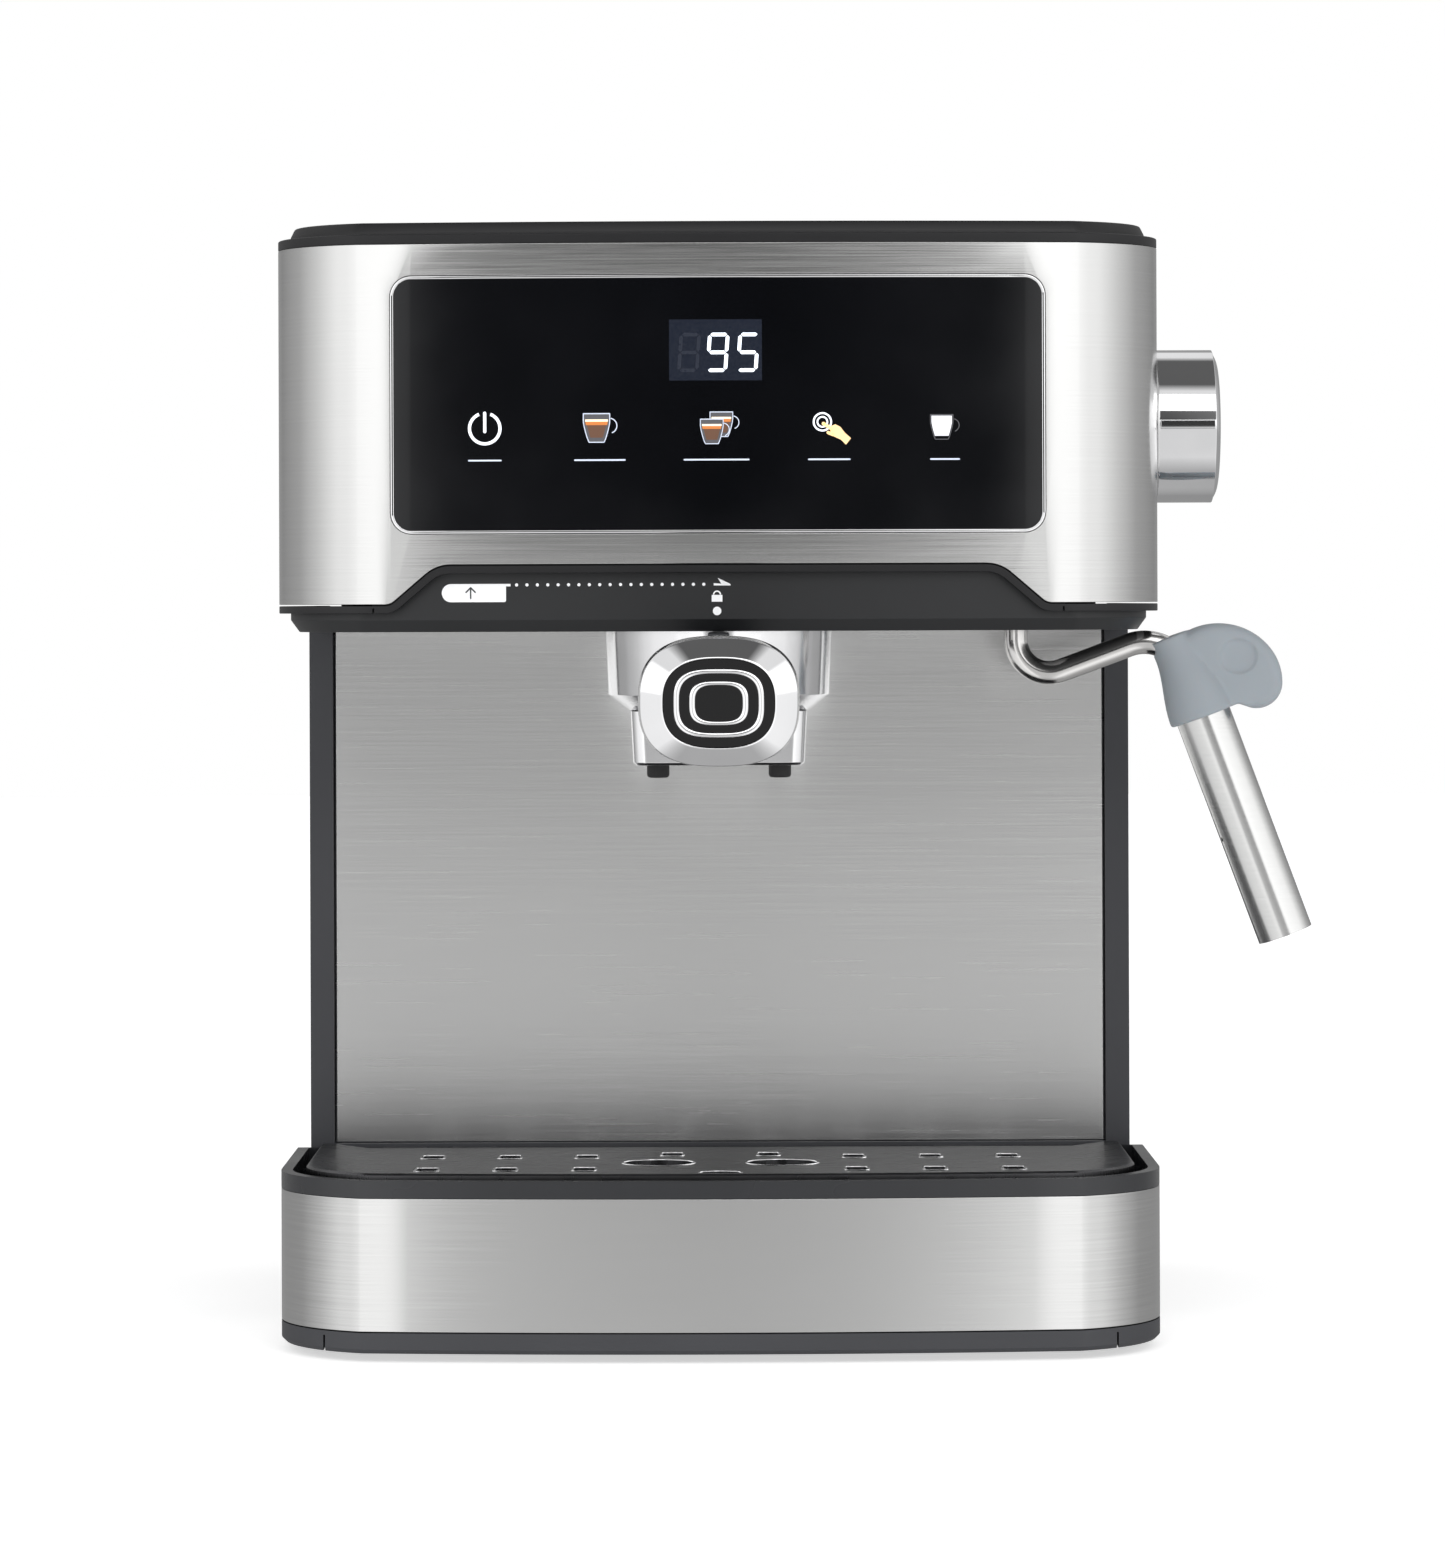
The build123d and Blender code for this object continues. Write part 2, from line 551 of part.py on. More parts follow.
with BuildPart() as tank_lid:
    lid_x = (-TANK_HALF, TANK_HALF)
    lid_y = (TANK_FRONT_Y + 0.2, TANK_REAR_Y)
    extrude(box_plan(TANK_TOP + GAP, lid_x, lid_y), amount=LID_FLANGE_TOP - TANK_TOP - GAP)
    fillet(tank_lid.edges().filter_by(Axis.Z).group_by(Axis.Y)[-1], radius=20)
    upper = box_plan(LID_FLANGE_TOP, (lid_x[0] + 3, lid_x[1] - 3), (lid_y[0], lid_y[1] - 3), 3)
    extrude(upper, amount=LID_TOP - LID_FLANGE_TOP)
    crown = tank_lid.faces().sort_by(Axis.Z)[-1]
    chamfer(crown.edges(), length=1.2)
    skirt = box_plan(TANK_TOP - 3, (lid_x[0] + 4, lid_x[1] - 4), (lid_y[0] + 4, lid_y[1] - 5), 12)
    extrude(skirt, amount=3 + GAP)
    core = box_plan(TANK_TOP - 3, (lid_x[0] + 6, lid_x[1] - 6), (lid_y[0] + 6, lid_y[1] - 7), 10)
    extrude(core, amount=7.5, mode=Mode.SUBTRACT)
    with BuildSketch(Plane.XY.offset(LID_TOP - 1.0)) as finger_dip:
        with Locations((0, TANK_FRONT_Y + 14)):
            SlotOverall(60, 14)
    extrude(finger_dip.sketch, amount=2, mode=Mode.SUBTRACT)
    with Locations(*[Plane((x, *LID_HINGE), z_dir=(1, 0, 0)) for x in (-68.0, 68.0)]):
        Cylinder(HINGE_R, 24)
save(tank_lid.part, "tank_lid")

with BuildPart() as tank_coupling:
    extrude(disc_plan(92.0, 11.0, *COUPLING), amount=15.6)
    extrude(disc_plan(94.0, 8.6, *COUPLING), amount=20, mode=Mode.SUBTRACT)
    extrude(disc_plan(76.0, 4.0, *COUPLING), amount=17)
    extrude(disc_plan(75.0, 2.4, *COUPLING), amount=20, mode=Mode.SUBTRACT)
    extrude(disc_plan(92.0, 1.2, *COUPLING), amount=PLUNGER_LOW - 0.4 - 92.0)
    box_between(
        (COUPLING[0] - 5, COUPLING[1] - 0.8, 92.0),
        (COUPLING[0] + 5, COUPLING[1] + 0.8, 93.8),
    )
save(tank_coupling.part, "tank_coupling")

# ---------------------------------------------------------------- water circuit

METER_TOP = 58.0

with BuildPart() as flow_meter:
    extrude(disc_plan(METER_TOP - 17, 15.0, *COUPLING), amount=17)
    extrude(ring_plan(METER_TOP, 4.0, 2.4, *COUPLING), amount=5)
    with BuildSketch(Plane((COUPLING[0], COUPLING[1] - 14, PUMP_Z), z_dir=(0, -1, 0))) as port:
        Circle(4.0)
    extrude(port.sketch, amount=6)
save(flow_meter.part, "flow_meter")

HOSE_R = 3.6
HOSE_BORE = 2.2

with BuildPart() as suction_hoses:
    with BuildSketch(Plane.XY.offset(METER_TOP + 5.1)) as straight:
        with Locations(COUPLING):
            Circle(HOSE_R)
            Circle(HOSE_BORE, mode=Mode.SUBTRACT)
    extrude(straight.sketch, amount=12.7)
    to_pump = [
        (COUPLING[0], COUPLING[1] - 20.1, PUMP_Z),
        (COUPLING[0], 66.0, PUMP_Z),
        (-86.0, 66.0, PUMP_Z),
        (-86.0, PUMP_Y, PUMP_Z),
        (-58.2, PUMP_Y, PUMP_Z),
    ]
    add(tube_along(to_pump, [11, 11, 14], HOSE_R, HOSE_BORE))
save(suction_hoses.part, "suction_hoses")

# The pump's sections along X: inlet nipple, inlet barrel, coil, outlet barrel, outlet nipple
PUMP_SECTIONS = [(-58, -46, 3.3), (-46, -25, 8.0), (-25, 26, 20.0), (26, 44, 8.0), (44, 56, 3.3)]

with BuildPart() as pump:
    for start_x, end_x, radius in PUMP_SECTIONS:
        with BuildSketch(Plane((start_x, PUMP_Y, PUMP_Z), z_dir=(1, 0, 0))) as section:
            Circle(radius)
        extrude(section.sketch, amount=end_x - start_x)
save(pump.part, "pump")

with BuildPart() as pump_mounts:
    for x in PUMP_ENDS:
        with BuildSketch(Plane((x - 5.5, PUMP_Y, PUMP_Z), z_dir=(1, 0, 0))) as boot:
            Circle(12.0)
            Circle(8.1, mode=Mode.SUBTRACT)
        extrude(boot.sketch, amount=11)
save(pump_mounts.part, "pump_mounts")

BLOCK_LOW = 232.3
BLOCK_HIGH = 258.0
BLOCK_REAR_Y = -24.0

with BuildPart() as pressure_hose:
    to_block = [
        (56.2, PUMP_Y, PUMP_Z),
        (82.0, PUMP_Y, PUMP_Z),
        (82.0, PUMP_Y, 246.0),
        (30.0, PUMP_Y, 246.0),
        (30.0, BLOCK_REAR_Y + 8.1, 246.0),
    ]
    add(tube_along(to_block, [16, 20, 20], 2.6, 1.4))
save(pressure_hose.part, "pressure_hose")

# ---------------------------------------------------------------- brewing group

GROUP_R = 42.5
BOLT_SPOTS = [(x, GROUP_Y + y) for x in (-24.0, 24.0) for y in (-24.0, 24.0)]
LUG_LOW = 210.3
LUG_HIGH = 214.2
UNLOCK_ANGLE = -45.0

with BuildPart() as group_head:
    extrude(disc_plan(206.0, GROUP_R, 0, GROUP_Y), amount=BLOCK_LOW - 0.3 - 206.0)
    extrude(disc_plan(206.0, BOWL_R + 0.4, 0, GROUP_Y), amount=16, mode=Mode.SUBTRACT)
    extrude(
        disc_plan(LUG_LOW - 0.4, LUG_R + 0.5, 0, GROUP_Y),
        amount=LUG_HIGH - LUG_LOW + 0.8,
        mode=Mode.SUBTRACT,
    )
    with BuildSketch(Plane.XY.offset(205.0)) as entry:
        with Locations((0, GROUP_Y)):
            Rectangle(2 * LUG_R + 4, 17, rotation=UNLOCK_ANGLE)
            Circle(LUG_R + 0.4, mode=Mode.INTERSECT)
    extrude(entry.sketch, amount=LUG_HIGH - 205.0, mode=Mode.SUBTRACT)
    extrude(disc_plan(215, 2.7, 0, GROUP_Y), amount=14, mode=Mode.SUBTRACT)
    for x, y in BOLT_SPOTS:
        extrude(disc_plan(226, 2.6, x, y), amount=20, mode=Mode.SUBTRACT)
save(group_head.part, "group_head")

with BuildPart() as group_gasket:
    extrude(ring_plan(BOWL_TOP + GAP, 32.6, 26.2, 0, GROUP_Y), amount=222.0 - BOWL_TOP - GAP)
save(group_gasket.part, "group_gasket")

with BuildPart() as shower_screen:
    extrude(disc_plan(216.8, 25.8, 0, GROUP_Y), amount=5.0)
    extrude(disc_plan(217.6, 25.0, 0, GROUP_Y), amount=6.0, mode=Mode.SUBTRACT)
    extrude(disc_plan(216, 2.7, 0, GROUP_Y), amount=4, mode=Mode.SUBTRACT)
    for ring_radius, count in ((8.0, 8), (15.0, 14), (21.5, 20)):
        with Locations((0, GROUP_Y, 217.2)):
            with PolarLocations(ring_radius, count):
                Cylinder(0.9, 3, mode=Mode.SUBTRACT)
save(shower_screen.part, "shower_screen")

with BuildPart() as shower_screw:
    extrude(disc_plan(215.2, 5.0, 0, GROUP_Y), amount=1.5)
    extrude(disc_plan(216.7, 2.5, 0, GROUP_Y), amount=10)
    extrude(disc_plan(215.2, 1.6, 0, GROUP_Y), amount=0.8, mode=Mode.SUBTRACT)
save(shower_screw.part, "shower_screw")

with BuildPart() as thermoblock:
    box_between((-45, -118, BLOCK_LOW), (45, BLOCK_REAR_Y, BLOCK_HIGH))
    fillet(thermoblock.edges().filter_by(Axis.Z), radius=8)
    for x in (-28.0, 28.0):
        with BuildSketch(Plane((x, -112, BLOCK_HIGH - 1), z_dir=(0, 1, 0))) as heater:
            Circle(5.5)
        extrude(heater.sketch, amount=BLOCK_REAR_Y + 112 + 6)
    with BuildSketch(Plane((30, BLOCK_REAR_Y - 1, 246), z_dir=(0, 1, 0))) as water_port:
        Circle(4.5)
    extrude(water_port.sketch, amount=9)
    for x, y in BOLT_SPOTS:
        extrude(disc_plan(BLOCK_LOW - 1, 2.6, x, y), amount=60, mode=Mode.SUBTRACT)
        extrude(disc_plan(BLOCK_HIGH - 4, 4.6, x, y), amount=60, mode=Mode.SUBTRACT)
save(thermoblock.part, "thermoblock")

with BuildPart() as group_bolts:
    for x, y in BOLT_SPOTS:
        extrude(disc_plan(226.5, 2.5, x, y), amount=BLOCK_HIGH - 4 - 226.5)
        with BuildSketch(Plane.XY.offset(BLOCK_HIGH - 4)) as hex_head:
            with Locations((x, y)):
                RegularPolygon(4.4, 6)
        extrude(hex_head.sketch, amount=3.6)
save(group_bolts.part, "group_bolts")

with BuildPart() as thermostats:
    for y in (-95.0, -60.0):
        extrude(disc_plan(BLOCK_HIGH, 8.0, 0, y), amount=6)
        extrude(disc_plan(BLOCK_HIGH + 6, 5.0, 0, y), amount=5)
save(thermostats.part, "thermostats")

# ---------------------------------------------------------------- steam circuit

VALVE_X = (90.0, 114.0)

with BuildPart() as steam_valve:
    box_between((VALVE_X[0], KNOB_Y - 11, KNOB_Z - 15), (VALVE_X[1], KNOB_Y + 11, KNOB_Z + 11))
    fillet(steam_valve.edges().filter_by(Axis.X), radius=3)
    with BuildSketch(Plane((VALVE_X[1] - 1, KNOB_Y, KNOB_Z), z_dir=(1, 0, 0))) as nose:
        Circle(8.0)
    extrude(nose.sketch, amount=7)
    with BuildSketch(Plane((VALVE_X[0] + 8, KNOB_Y, KNOB_Z), z_dir=(1, 0, 0))) as bore:
        Circle(4.05)
    extrude(bore.sketch, amount=40, mode=Mode.SUBTRACT)
save(steam_valve.part, "steam_valve")

SOCKET_LOW = 206.0
SOCKET_HIGH = 224.0

with BuildPart() as steam_pipes:
    with BuildSketch(Plane((45.1, KNOB_Y, 252), z_dir=(1, 0, 0))) as inlet:
        Circle(3.0)
        Circle(1.8, mode=Mode.SUBTRACT)
    extrude(inlet.sketch, amount=VALVE_X[0] - 45.2)
    to_wand = [
        (104.0, KNOB_Y, KNOB_Z - 15.1),
        (104.0, KNOB_Y, 236.0),
        (WAND_X, WAND_Y, 236.0),
        (WAND_X, WAND_Y, SOCKET_HIGH + 0.1),
    ]
    add(tube_along(to_wand, [6, 6], 3.0, 1.8))
save(steam_pipes.part, "steam_pipes")

with BuildPart() as wand_socket:
    extrude(disc_plan(SOCKET_LOW, 11.4, WAND_X, WAND_Y), amount=SOCKET_HIGH - SOCKET_LOW)
    with Locations((WAND_X, WAND_Y, WAND_BALL_Z + 2)):
        Sphere(7.4, mode=Mode.SUBTRACT)
    extrude(disc_plan(SOCKET_LOW - 1, 4.6, WAND_X, WAND_Y), amount=8, mode=Mode.SUBTRACT)
    extrude(disc_plan(WAND_BALL_Z, 1.8, WAND_X, WAND_Y), amount=30, mode=Mode.SUBTRACT)
save(wand_socket.part, "wand_socket")

# The sleeve's axis, pointing down and outward from the grip
TILT = math.radians(SLEEVE_TILT)
AXIS_X = math.sin(TILT)
AXIS_Z = -math.cos(TILT)
U_BOTTOM_Z = 188.6
RISE = math.tan(TILT)
TUBE_END = 60.0


def along_sleeve(distance, sideways=0.0):
    """A point in the wand's plane, at a distance down the sleeve's axis and to its right."""
    x = SLEEVE_TOP[0] + AXIS_X * distance - AXIS_Z * sideways
    z = SLEEVE_TOP[1] + AXIS_Z * distance + AXIS_X * sideways
    return (x, WAND_Y, z)


def sleeve_plane(distance, sideways=0.0):
    """A plane square to the sleeve's axis, facing down it."""
    return Plane(origin=along_sleeve(distance, sideways), x_dir=(0, 1, 0), z_dir=(AXIS_X, 0, AXIS_Z))


# The hump is where the tube's rising run, square to the sleeve, meets the sleeve's axis
HUMP_BACK = (U_BOTTOM_Z - SLEEVE_TOP[1] + RISE * (SLEEVE_TOP[0] - WAND_X)) * AXIS_Z
HUMP = along_sleeve(HUMP_BACK)

with BuildPart() as steam_tube:
    wand_points = [
        (WAND_X, WAND_Y, WAND_BALL_Z + 2),
        (WAND_X, WAND_Y, U_BOTTOM_Z),
        HUMP,
        along_sleeve(TUBE_END),
    ]
    add(tube_along(wand_points, [9.5, 13], TUBE_R))
    with Locations((WAND_X, WAND_Y, WAND_BALL_Z + 2)):
        Sphere(7.0)
    add(tube_along(wand_points, [9.5, 13], 1.9), mode=Mode.SUBTRACT)
    extrude(disc_plan(WAND_BALL_Z + 1, 1.9, WAND_X, WAND_Y), amount=10, mode=Mode.SUBTRACT)
save(steam_tube.part, "steam_tube")

with BuildPart() as froth_sleeve:
    with BuildSketch(sleeve_plane(0)) as outside:
        Circle(SLEEVE_R)
    extrude(outside.sketch, amount=SLEEVE_LEN)
    with BuildSketch(sleeve_plane(3)) as inside:
        Circle(SLEEVE_R - 0.8)
    extrude(inside.sketch, amount=SLEEVE_LEN, mode=Mode.SUBTRACT)
    with BuildSketch(sleeve_plane(-1)) as guide:
        Circle(TUBE_R + 0.3)
    extrude(guide.sketch, amount=10, mode=Mode.SUBTRACT)
    air_dir = Vector(AXIS_Z * math.cos(0.3), -math.sin(0.3), -AXIS_X * math.cos(0.3))
    air_start = Vector(*along_sleeve(36.0))
    with BuildSketch(Plane(origin=air_start + air_dir * 5, z_dir=air_dir)) as air_hole:
        Circle(0.65)
    extrude(air_hole.sketch, amount=10, mode=Mode.SUBTRACT)
save(froth_sleeve.part, "froth_sleeve")

# The grip: a collar round the tube and sleeve, and a flat thumb fin on its outer side
# Each section of the collar: distance down the axis, offset to its right, radius
COLLAR_SECTIONS = [
    (-24.0, -2.0, 6.3),
    (-19.0, -0.9, 6.4),
    (-13.0, -0.2, 7.6),
    (-4.0, 0.0, 9.5),
    (1.0, 0.0, 9.8),
]
FIN_HALF = 5.0
FIN_TOP = (144.0, 206.9)
DIMPLE = (149.3, 197.4)

fin_rear = Plane(origin=(0, WAND_Y + FIN_HALF, 0), x_dir=(1, 0, 0), z_dir=(0, -1, 0))
dimple_face = Plane(origin=(DIMPLE[0], WAND_Y - FIN_HALF, DIMPLE[1]), z_dir=(0, -1, 0))

with BuildPart() as wand_grip:
    with BuildSketch(fin_rear) as fin:
        with BuildLine():
            crown = JernArc((FIN_TOP[0] - 11.0, FIN_TOP[1] - 3.5), (0.815, 0.579), 19.0, -85.4)
            outer = JernArc(crown @ 1, crown % 1, 16.0, -40.0)
            tip = JernArc(outer @ 1, outer % 1, 7.5, -100.0)
            Polyline(tip @ 1, (149.6, 183.8), (141.0, 181.5), crown @ 0)
        make_face()
    extrude(fin.sketch, amount=2 * FIN_HALF)
    fin_rims = wand_grip.faces().filter_by(Axis.Y).edges().filter_by(GeomType.CIRCLE)
    fillet(fin_rims, radius=3.0)
    with BuildSketch(dimple_face) as dimple:
        Ellipse(5.0, 5.4)
    extrude(dimple.sketch, amount=-0.9, mode=Mode.SUBTRACT)
    collar = []
    for distance, sideways, radius in COLLAR_SECTIONS:
        with BuildSketch(sleeve_plane(distance, sideways)) as collar_section:
            Circle(radius)
        collar.append(collar_section.sketch)
    loft(collar)
    with BuildSketch(sleeve_plane(-0.4)) as socket_face:
        Circle(SLEEVE_R + 0.3)
    extrude(socket_face.sketch, amount=3, mode=Mode.SUBTRACT)
    add(tube_along(wand_points, [9.5, 13], TUBE_R + 0.05), mode=Mode.SUBTRACT)
save(wand_grip.part, "wand_grip")

KNOB_BACK = BODY_HALF + 0.6
KNOB_FRONT = 144.0


def knob_disc(x, radius):
    """A disc square to the knob's axis."""
    with BuildSketch(Plane((x, KNOB_Y, KNOB_Z), x_dir=(0, 1, 0), z_dir=(1, 0, 0))) as disc:
        Circle(radius)
    return disc.sketch


with BuildPart() as steam_knob:
    extrude(knob_disc(KNOB_BACK, KNOB_R), amount=KNOB_FRONT - KNOB_BACK)
    back_edge = steam_knob.edges().filter_by(GeomType.CIRCLE).sort_by(Axis.X)[0]
    fillet(back_edge, radius=1.2)
    extrude(knob_disc(KNOB_BACK - 1, KNOB_R - 2.4), amount=KNOB_FRONT - KNOB_BACK - 3, mode=Mode.SUBTRACT)
    extrude(knob_disc(KNOB_BACK + 1, 7.0), amount=KNOB_FRONT - KNOB_BACK - 3)
    extrude(knob_disc(KNOB_BACK - 1, 4.1), amount=14, mode=Mode.SUBTRACT)
    box_between(
        (KNOB_BACK + 1.2, KNOB_Y - KNOB_R - 0.8, KNOB_Z - 1.2),
        (KNOB_FRONT - 0.4, KNOB_Y - KNOB_R + 1.0, KNOB_Z + 1.2),
    )
save(steam_knob.part, "steam_knob")

knob_side = Plane(origin=(0, KNOB_Y, KNOB_Z), x_dir=(1, 0, 0), z_dir=(0, -1, 0))

with BuildPart() as knob_cap:
    with BuildSketch(knob_side):
        with BuildLine():
            Line((KNOB_FRONT, 0), (KNOB_FRONT, KNOB_R - 0.8))
            ThreePointArc(
                (KNOB_FRONT, KNOB_R - 0.8),
                (KNOB_FRONT + 1.2, KNOB_R - 3.0),
                (KNOB_FRONT + 1.5, KNOB_R - 5.5),
            )
            Spline(
                (KNOB_FRONT + 1.5, KNOB_R - 5.5),
                (KNOB_FRONT + 2.2, 0),
                tangents=((0.05, -1), (0, -1)),
            )
            Line((KNOB_FRONT + 2.2, 0), (KNOB_FRONT, 0))
        make_face()
    revolve(axis=Axis((0, KNOB_Y, KNOB_Z), (1, 0, 0)))
save(knob_cap.part, "knob_cap")

with BuildPart() as knob_spindle:
    extrude(knob_disc(VALVE_X[0] + 9, 4.0), amount=14)
    extrude(knob_disc(VALVE_X[0] + 22, 4.0), amount=KNOB_BACK + 12 - VALVE_X[0] - 22)
    chamfer(knob_spindle.faces().sort_by(Axis.X)[0].edges(), length=2.0)
save(knob_spindle.part, "knob_spindle")

# ---------------------------------------------------------------- portafilter

HANDLE_TILT = math.radians(HANDLE_DROP)


def handle_plane(distance):
    """A plane square to the handle's axis, at a distance forward of the group's axis."""
    forward = Vector(0, -math.cos(HANDLE_TILT), -math.sin(HANDLE_TILT))
    root = Vector(0, GROUP_Y, HANDLE_ROOT_Z)
    return Plane(origin=root + forward * distance, x_dir=(1, 0, 0), z_dir=forward)


def rounded_oval(distance, width, height, power=2.6, turns=24):
    """A superellipse square to the handle's axis: power 2 is an ellipse, higher is squarer."""
    points = []
    for step in range(turns):
        angle = 2 * math.pi * step / turns
        across = math.copysign(abs(math.cos(angle)) ** (2 / power), math.cos(angle))
        upward = math.copysign(abs(math.sin(angle)) ** (2 / power), math.sin(angle))
        points.append((width / 2 * across, height / 2 * upward))
    with BuildSketch(handle_plane(distance)) as oval:
        with BuildLine():
            Spline(points, periodic=True)
        make_face()
    return oval.sketch


BASKET_SEAT = BOWL_TOP - 0.9
NECK_R = 9.5

with BuildPart() as portafilter_bowl:
    with BuildSketch(Plane.XZ.offset(-GROUP_Y)):
        with BuildLine():
            Polyline(
                (5.0, BOWL_BOTTOM),
                (26.5, BOWL_BOTTOM),
                (32.0, 186.8),
                (BOWL_R, 203.0),
                (BOWL_R, BOWL_TOP),
                (30.7, BOWL_TOP),
                (30.7, BASKET_SEAT),
                (28.3, BASKET_SEAT),
                (28.3, 190.0),
                (5.0, 188.0),
                close=True,
            )
        make_face()
    revolve(axis=Axis((0, GROUP_Y, 0), (0, 0, 1)))
    with BuildSketch(Plane.XY.offset(LUG_LOW)) as lugs:
        with Locations((0, GROUP_Y)):
            Circle(LUG_R)
            Rectangle(2 * LUG_R, 15, mode=Mode.INTERSECT)
            Circle(BOWL_R - 0.5, mode=Mode.SUBTRACT)
    extrude(lugs.sketch, amount=LUG_HIGH - LUG_LOW)
    with BuildSketch(handle_plane(30.4)) as neck:
        Circle(NECK_R)
    extrude(neck.sketch, amount=HANDLE_START - 30.4)
    with BuildSketch(handle_plane(31.4)) as stud_hole:
        Circle(4.0)
    extrude(stud_hole.sketch, amount=10, mode=Mode.SUBTRACT)
save(portafilter_bowl.part, "portafilter_bowl")

with BuildPart() as filter_basket:
    with BuildSketch(Plane.XZ.offset(-GROUP_Y)):
        with BuildLine():
            Polyline(
                (0, 192.0),
                (25.0, 192.0),
                (BASKET_R, 195.0),
                (BASKET_R, BASKET_SEAT + 0.1),
                (30.4, BASKET_SEAT + 0.1),
                (30.4, BOWL_TOP - 0.1),
                (BASKET_R - 0.7, BOWL_TOP - 0.1),
                (BASKET_R - 0.7, 195.3),
                (24.7, 192.7),
                (0, 192.7),
                close=True,
            )
        make_face()
    revolve(axis=Axis((0, GROUP_Y, 0), (0, 0, 1)))
    for ring_radius, count in ((6.0, 6), (12.0, 12), (18.0, 18)):
        with Locations((0, GROUP_Y, 192.3)):
            with PolarLocations(ring_radius, count):
                Cylinder(0.6, 2, mode=Mode.SUBTRACT)
save(filter_basket.part, "filter_basket")

with BuildPart() as basket_spring:
    with BuildLine() as spring_arc:
        CenterArc((0, GROUP_Y, 206.0), 27.65, 20, 320)
    with BuildSketch(Plane(origin=spring_arc.line @ 0, z_dir=spring_arc.line % 0)) as spring_wire:
        Circle(0.55)
    sweep(spring_wire.sketch, path=spring_arc.line)
save(basket_spring.part, "basket_spring")

with BuildPart() as handle_bolt:
    with BuildSketch(handle_plane(31.6)) as bolt_end:
        Circle(3.9)
    extrude(bolt_end.sketch, amount=52)
save(handle_bolt.part, "handle_bolt")

INLAY_W = 30.5
INLAY_H = 24.4

with BuildPart() as handle_grip:
    loft(
        [
            rounded_oval(HANDLE_START + 0.1, 21.0, 20.0, 2.0),
            rounded_oval(58.0, 23.0, 21.5, 2.1),
            rounded_oval(92.0, 32.0, 27.5, 2.3),
            rounded_oval(CAP_START - 0.1, 41.6, 33.4, 2.6),
        ]
    )
    with BuildSketch(handle_plane(HANDLE_START - 5)) as bolt_hole:
        Circle(3.95)
    extrude(bolt_hole.sketch, amount=53, mode=Mode.SUBTRACT)
save(handle_grip.part, "handle_grip")

with BuildPart() as handle_cap:
    loft(
        [
            rounded_oval(CAP_START, CAP_W - 0.6, CAP_H - 0.6),
            rounded_oval(CAP_START + 3.0, CAP_W, CAP_H),
            rounded_oval(CAP_START + 7.6, CAP_W - 0.8, CAP_H - 0.8),
        ]
    )
    loft(
        [
            rounded_oval(CAP_START + 7.6, CAP_W - 0.8, CAP_H - 0.8),
            rounded_oval(CAP_END, INLAY_W, INLAY_H),
        ],
        ruled=True,
    )
    extrude(rounded_oval(CAP_END + 1, INLAY_W - 0.6, INLAY_H - 0.6), amount=-2.4, mode=Mode.SUBTRACT)
save(handle_cap.part, "handle_cap")

# Each ring of the inlay: outer width and height, inner width and height
RINGS = [(24.3, 18.4, 21.1, 15.8), (15.9, 11.9, 12.6, 9.6)]

with BuildPart() as handle_inlay:
    extrude(rounded_oval(CAP_END - 1.35, INLAY_W - 0.8, INLAY_H - 0.8), amount=1.0)
    for outer_w, outer_h, inner_w, inner_h in RINGS:
        extrude(rounded_oval(CAP_END - 0.85, outer_w, outer_h, 3.2), amount=2, mode=Mode.SUBTRACT)
        extrude(rounded_oval(CAP_END - 0.9, inner_w, inner_h, 3.2), amount=0.55)
save(handle_inlay.part, "handle_inlay")

with BuildPart() as handle_rings:
    for outer_w, outer_h, inner_w, inner_h in RINGS:
        extrude(rounded_oval(CAP_END - 0.82, outer_w - 0.1, outer_h - 0.1, 3.2), amount=0.72)
        extrude(rounded_oval(CAP_END - 2, inner_w + 0.1, inner_h + 0.1, 3.2), amount=4, mode=Mode.SUBTRACT)
save(handle_rings.part, "handle_rings")

with BuildPart() as thumb_guard:
    box_between((-3.0, -150.0, 202.3), (3.0, GROUP_Y - BOWL_R - 0.4, 204.9))
    fillet(thumb_guard.edges().filter_by(Axis.X), radius=0.8)
save(thumb_guard.part, "thumb_guard")

SPOUT_LOW = 166.6
SPOUT_HALF = 25.4
SPOUT_X = 17.6
SPOUT_Y = (GROUP_Y - 15, GROUP_Y + 15)

with BuildPart() as spout_block:
    loft(
        [
            box_plan(SPOUT_LOW, (-SPOUT_HALF + 0.8, SPOUT_HALF - 0.8), SPOUT_Y, 4),
            box_plan(BOWL_BOTTOM - 0.1, (-SPOUT_HALF, SPOUT_HALF), SPOUT_Y, 4),
        ],
        ruled=True,
    )
    chamfer(spout_block.faces().sort_by(Axis.Z)[0].edges(), length=0.8)
    hollow_y = (SPOUT_Y[0] + 2, SPOUT_Y[1] - 2)
    hollow = box_plan(SPOUT_LOW + 2.5, (-SPOUT_HALF + 3, SPOUT_HALF - 3), hollow_y, 3)
    extrude(hollow, amount=30, mode=Mode.SUBTRACT)
    for x in (-SPOUT_X, SPOUT_X):
        extrude(disc_plan(SPOUT_LOW - 1, 2.6, x, GROUP_Y), amount=10, mode=Mode.SUBTRACT)
save(spout_block.part, "spout_block")

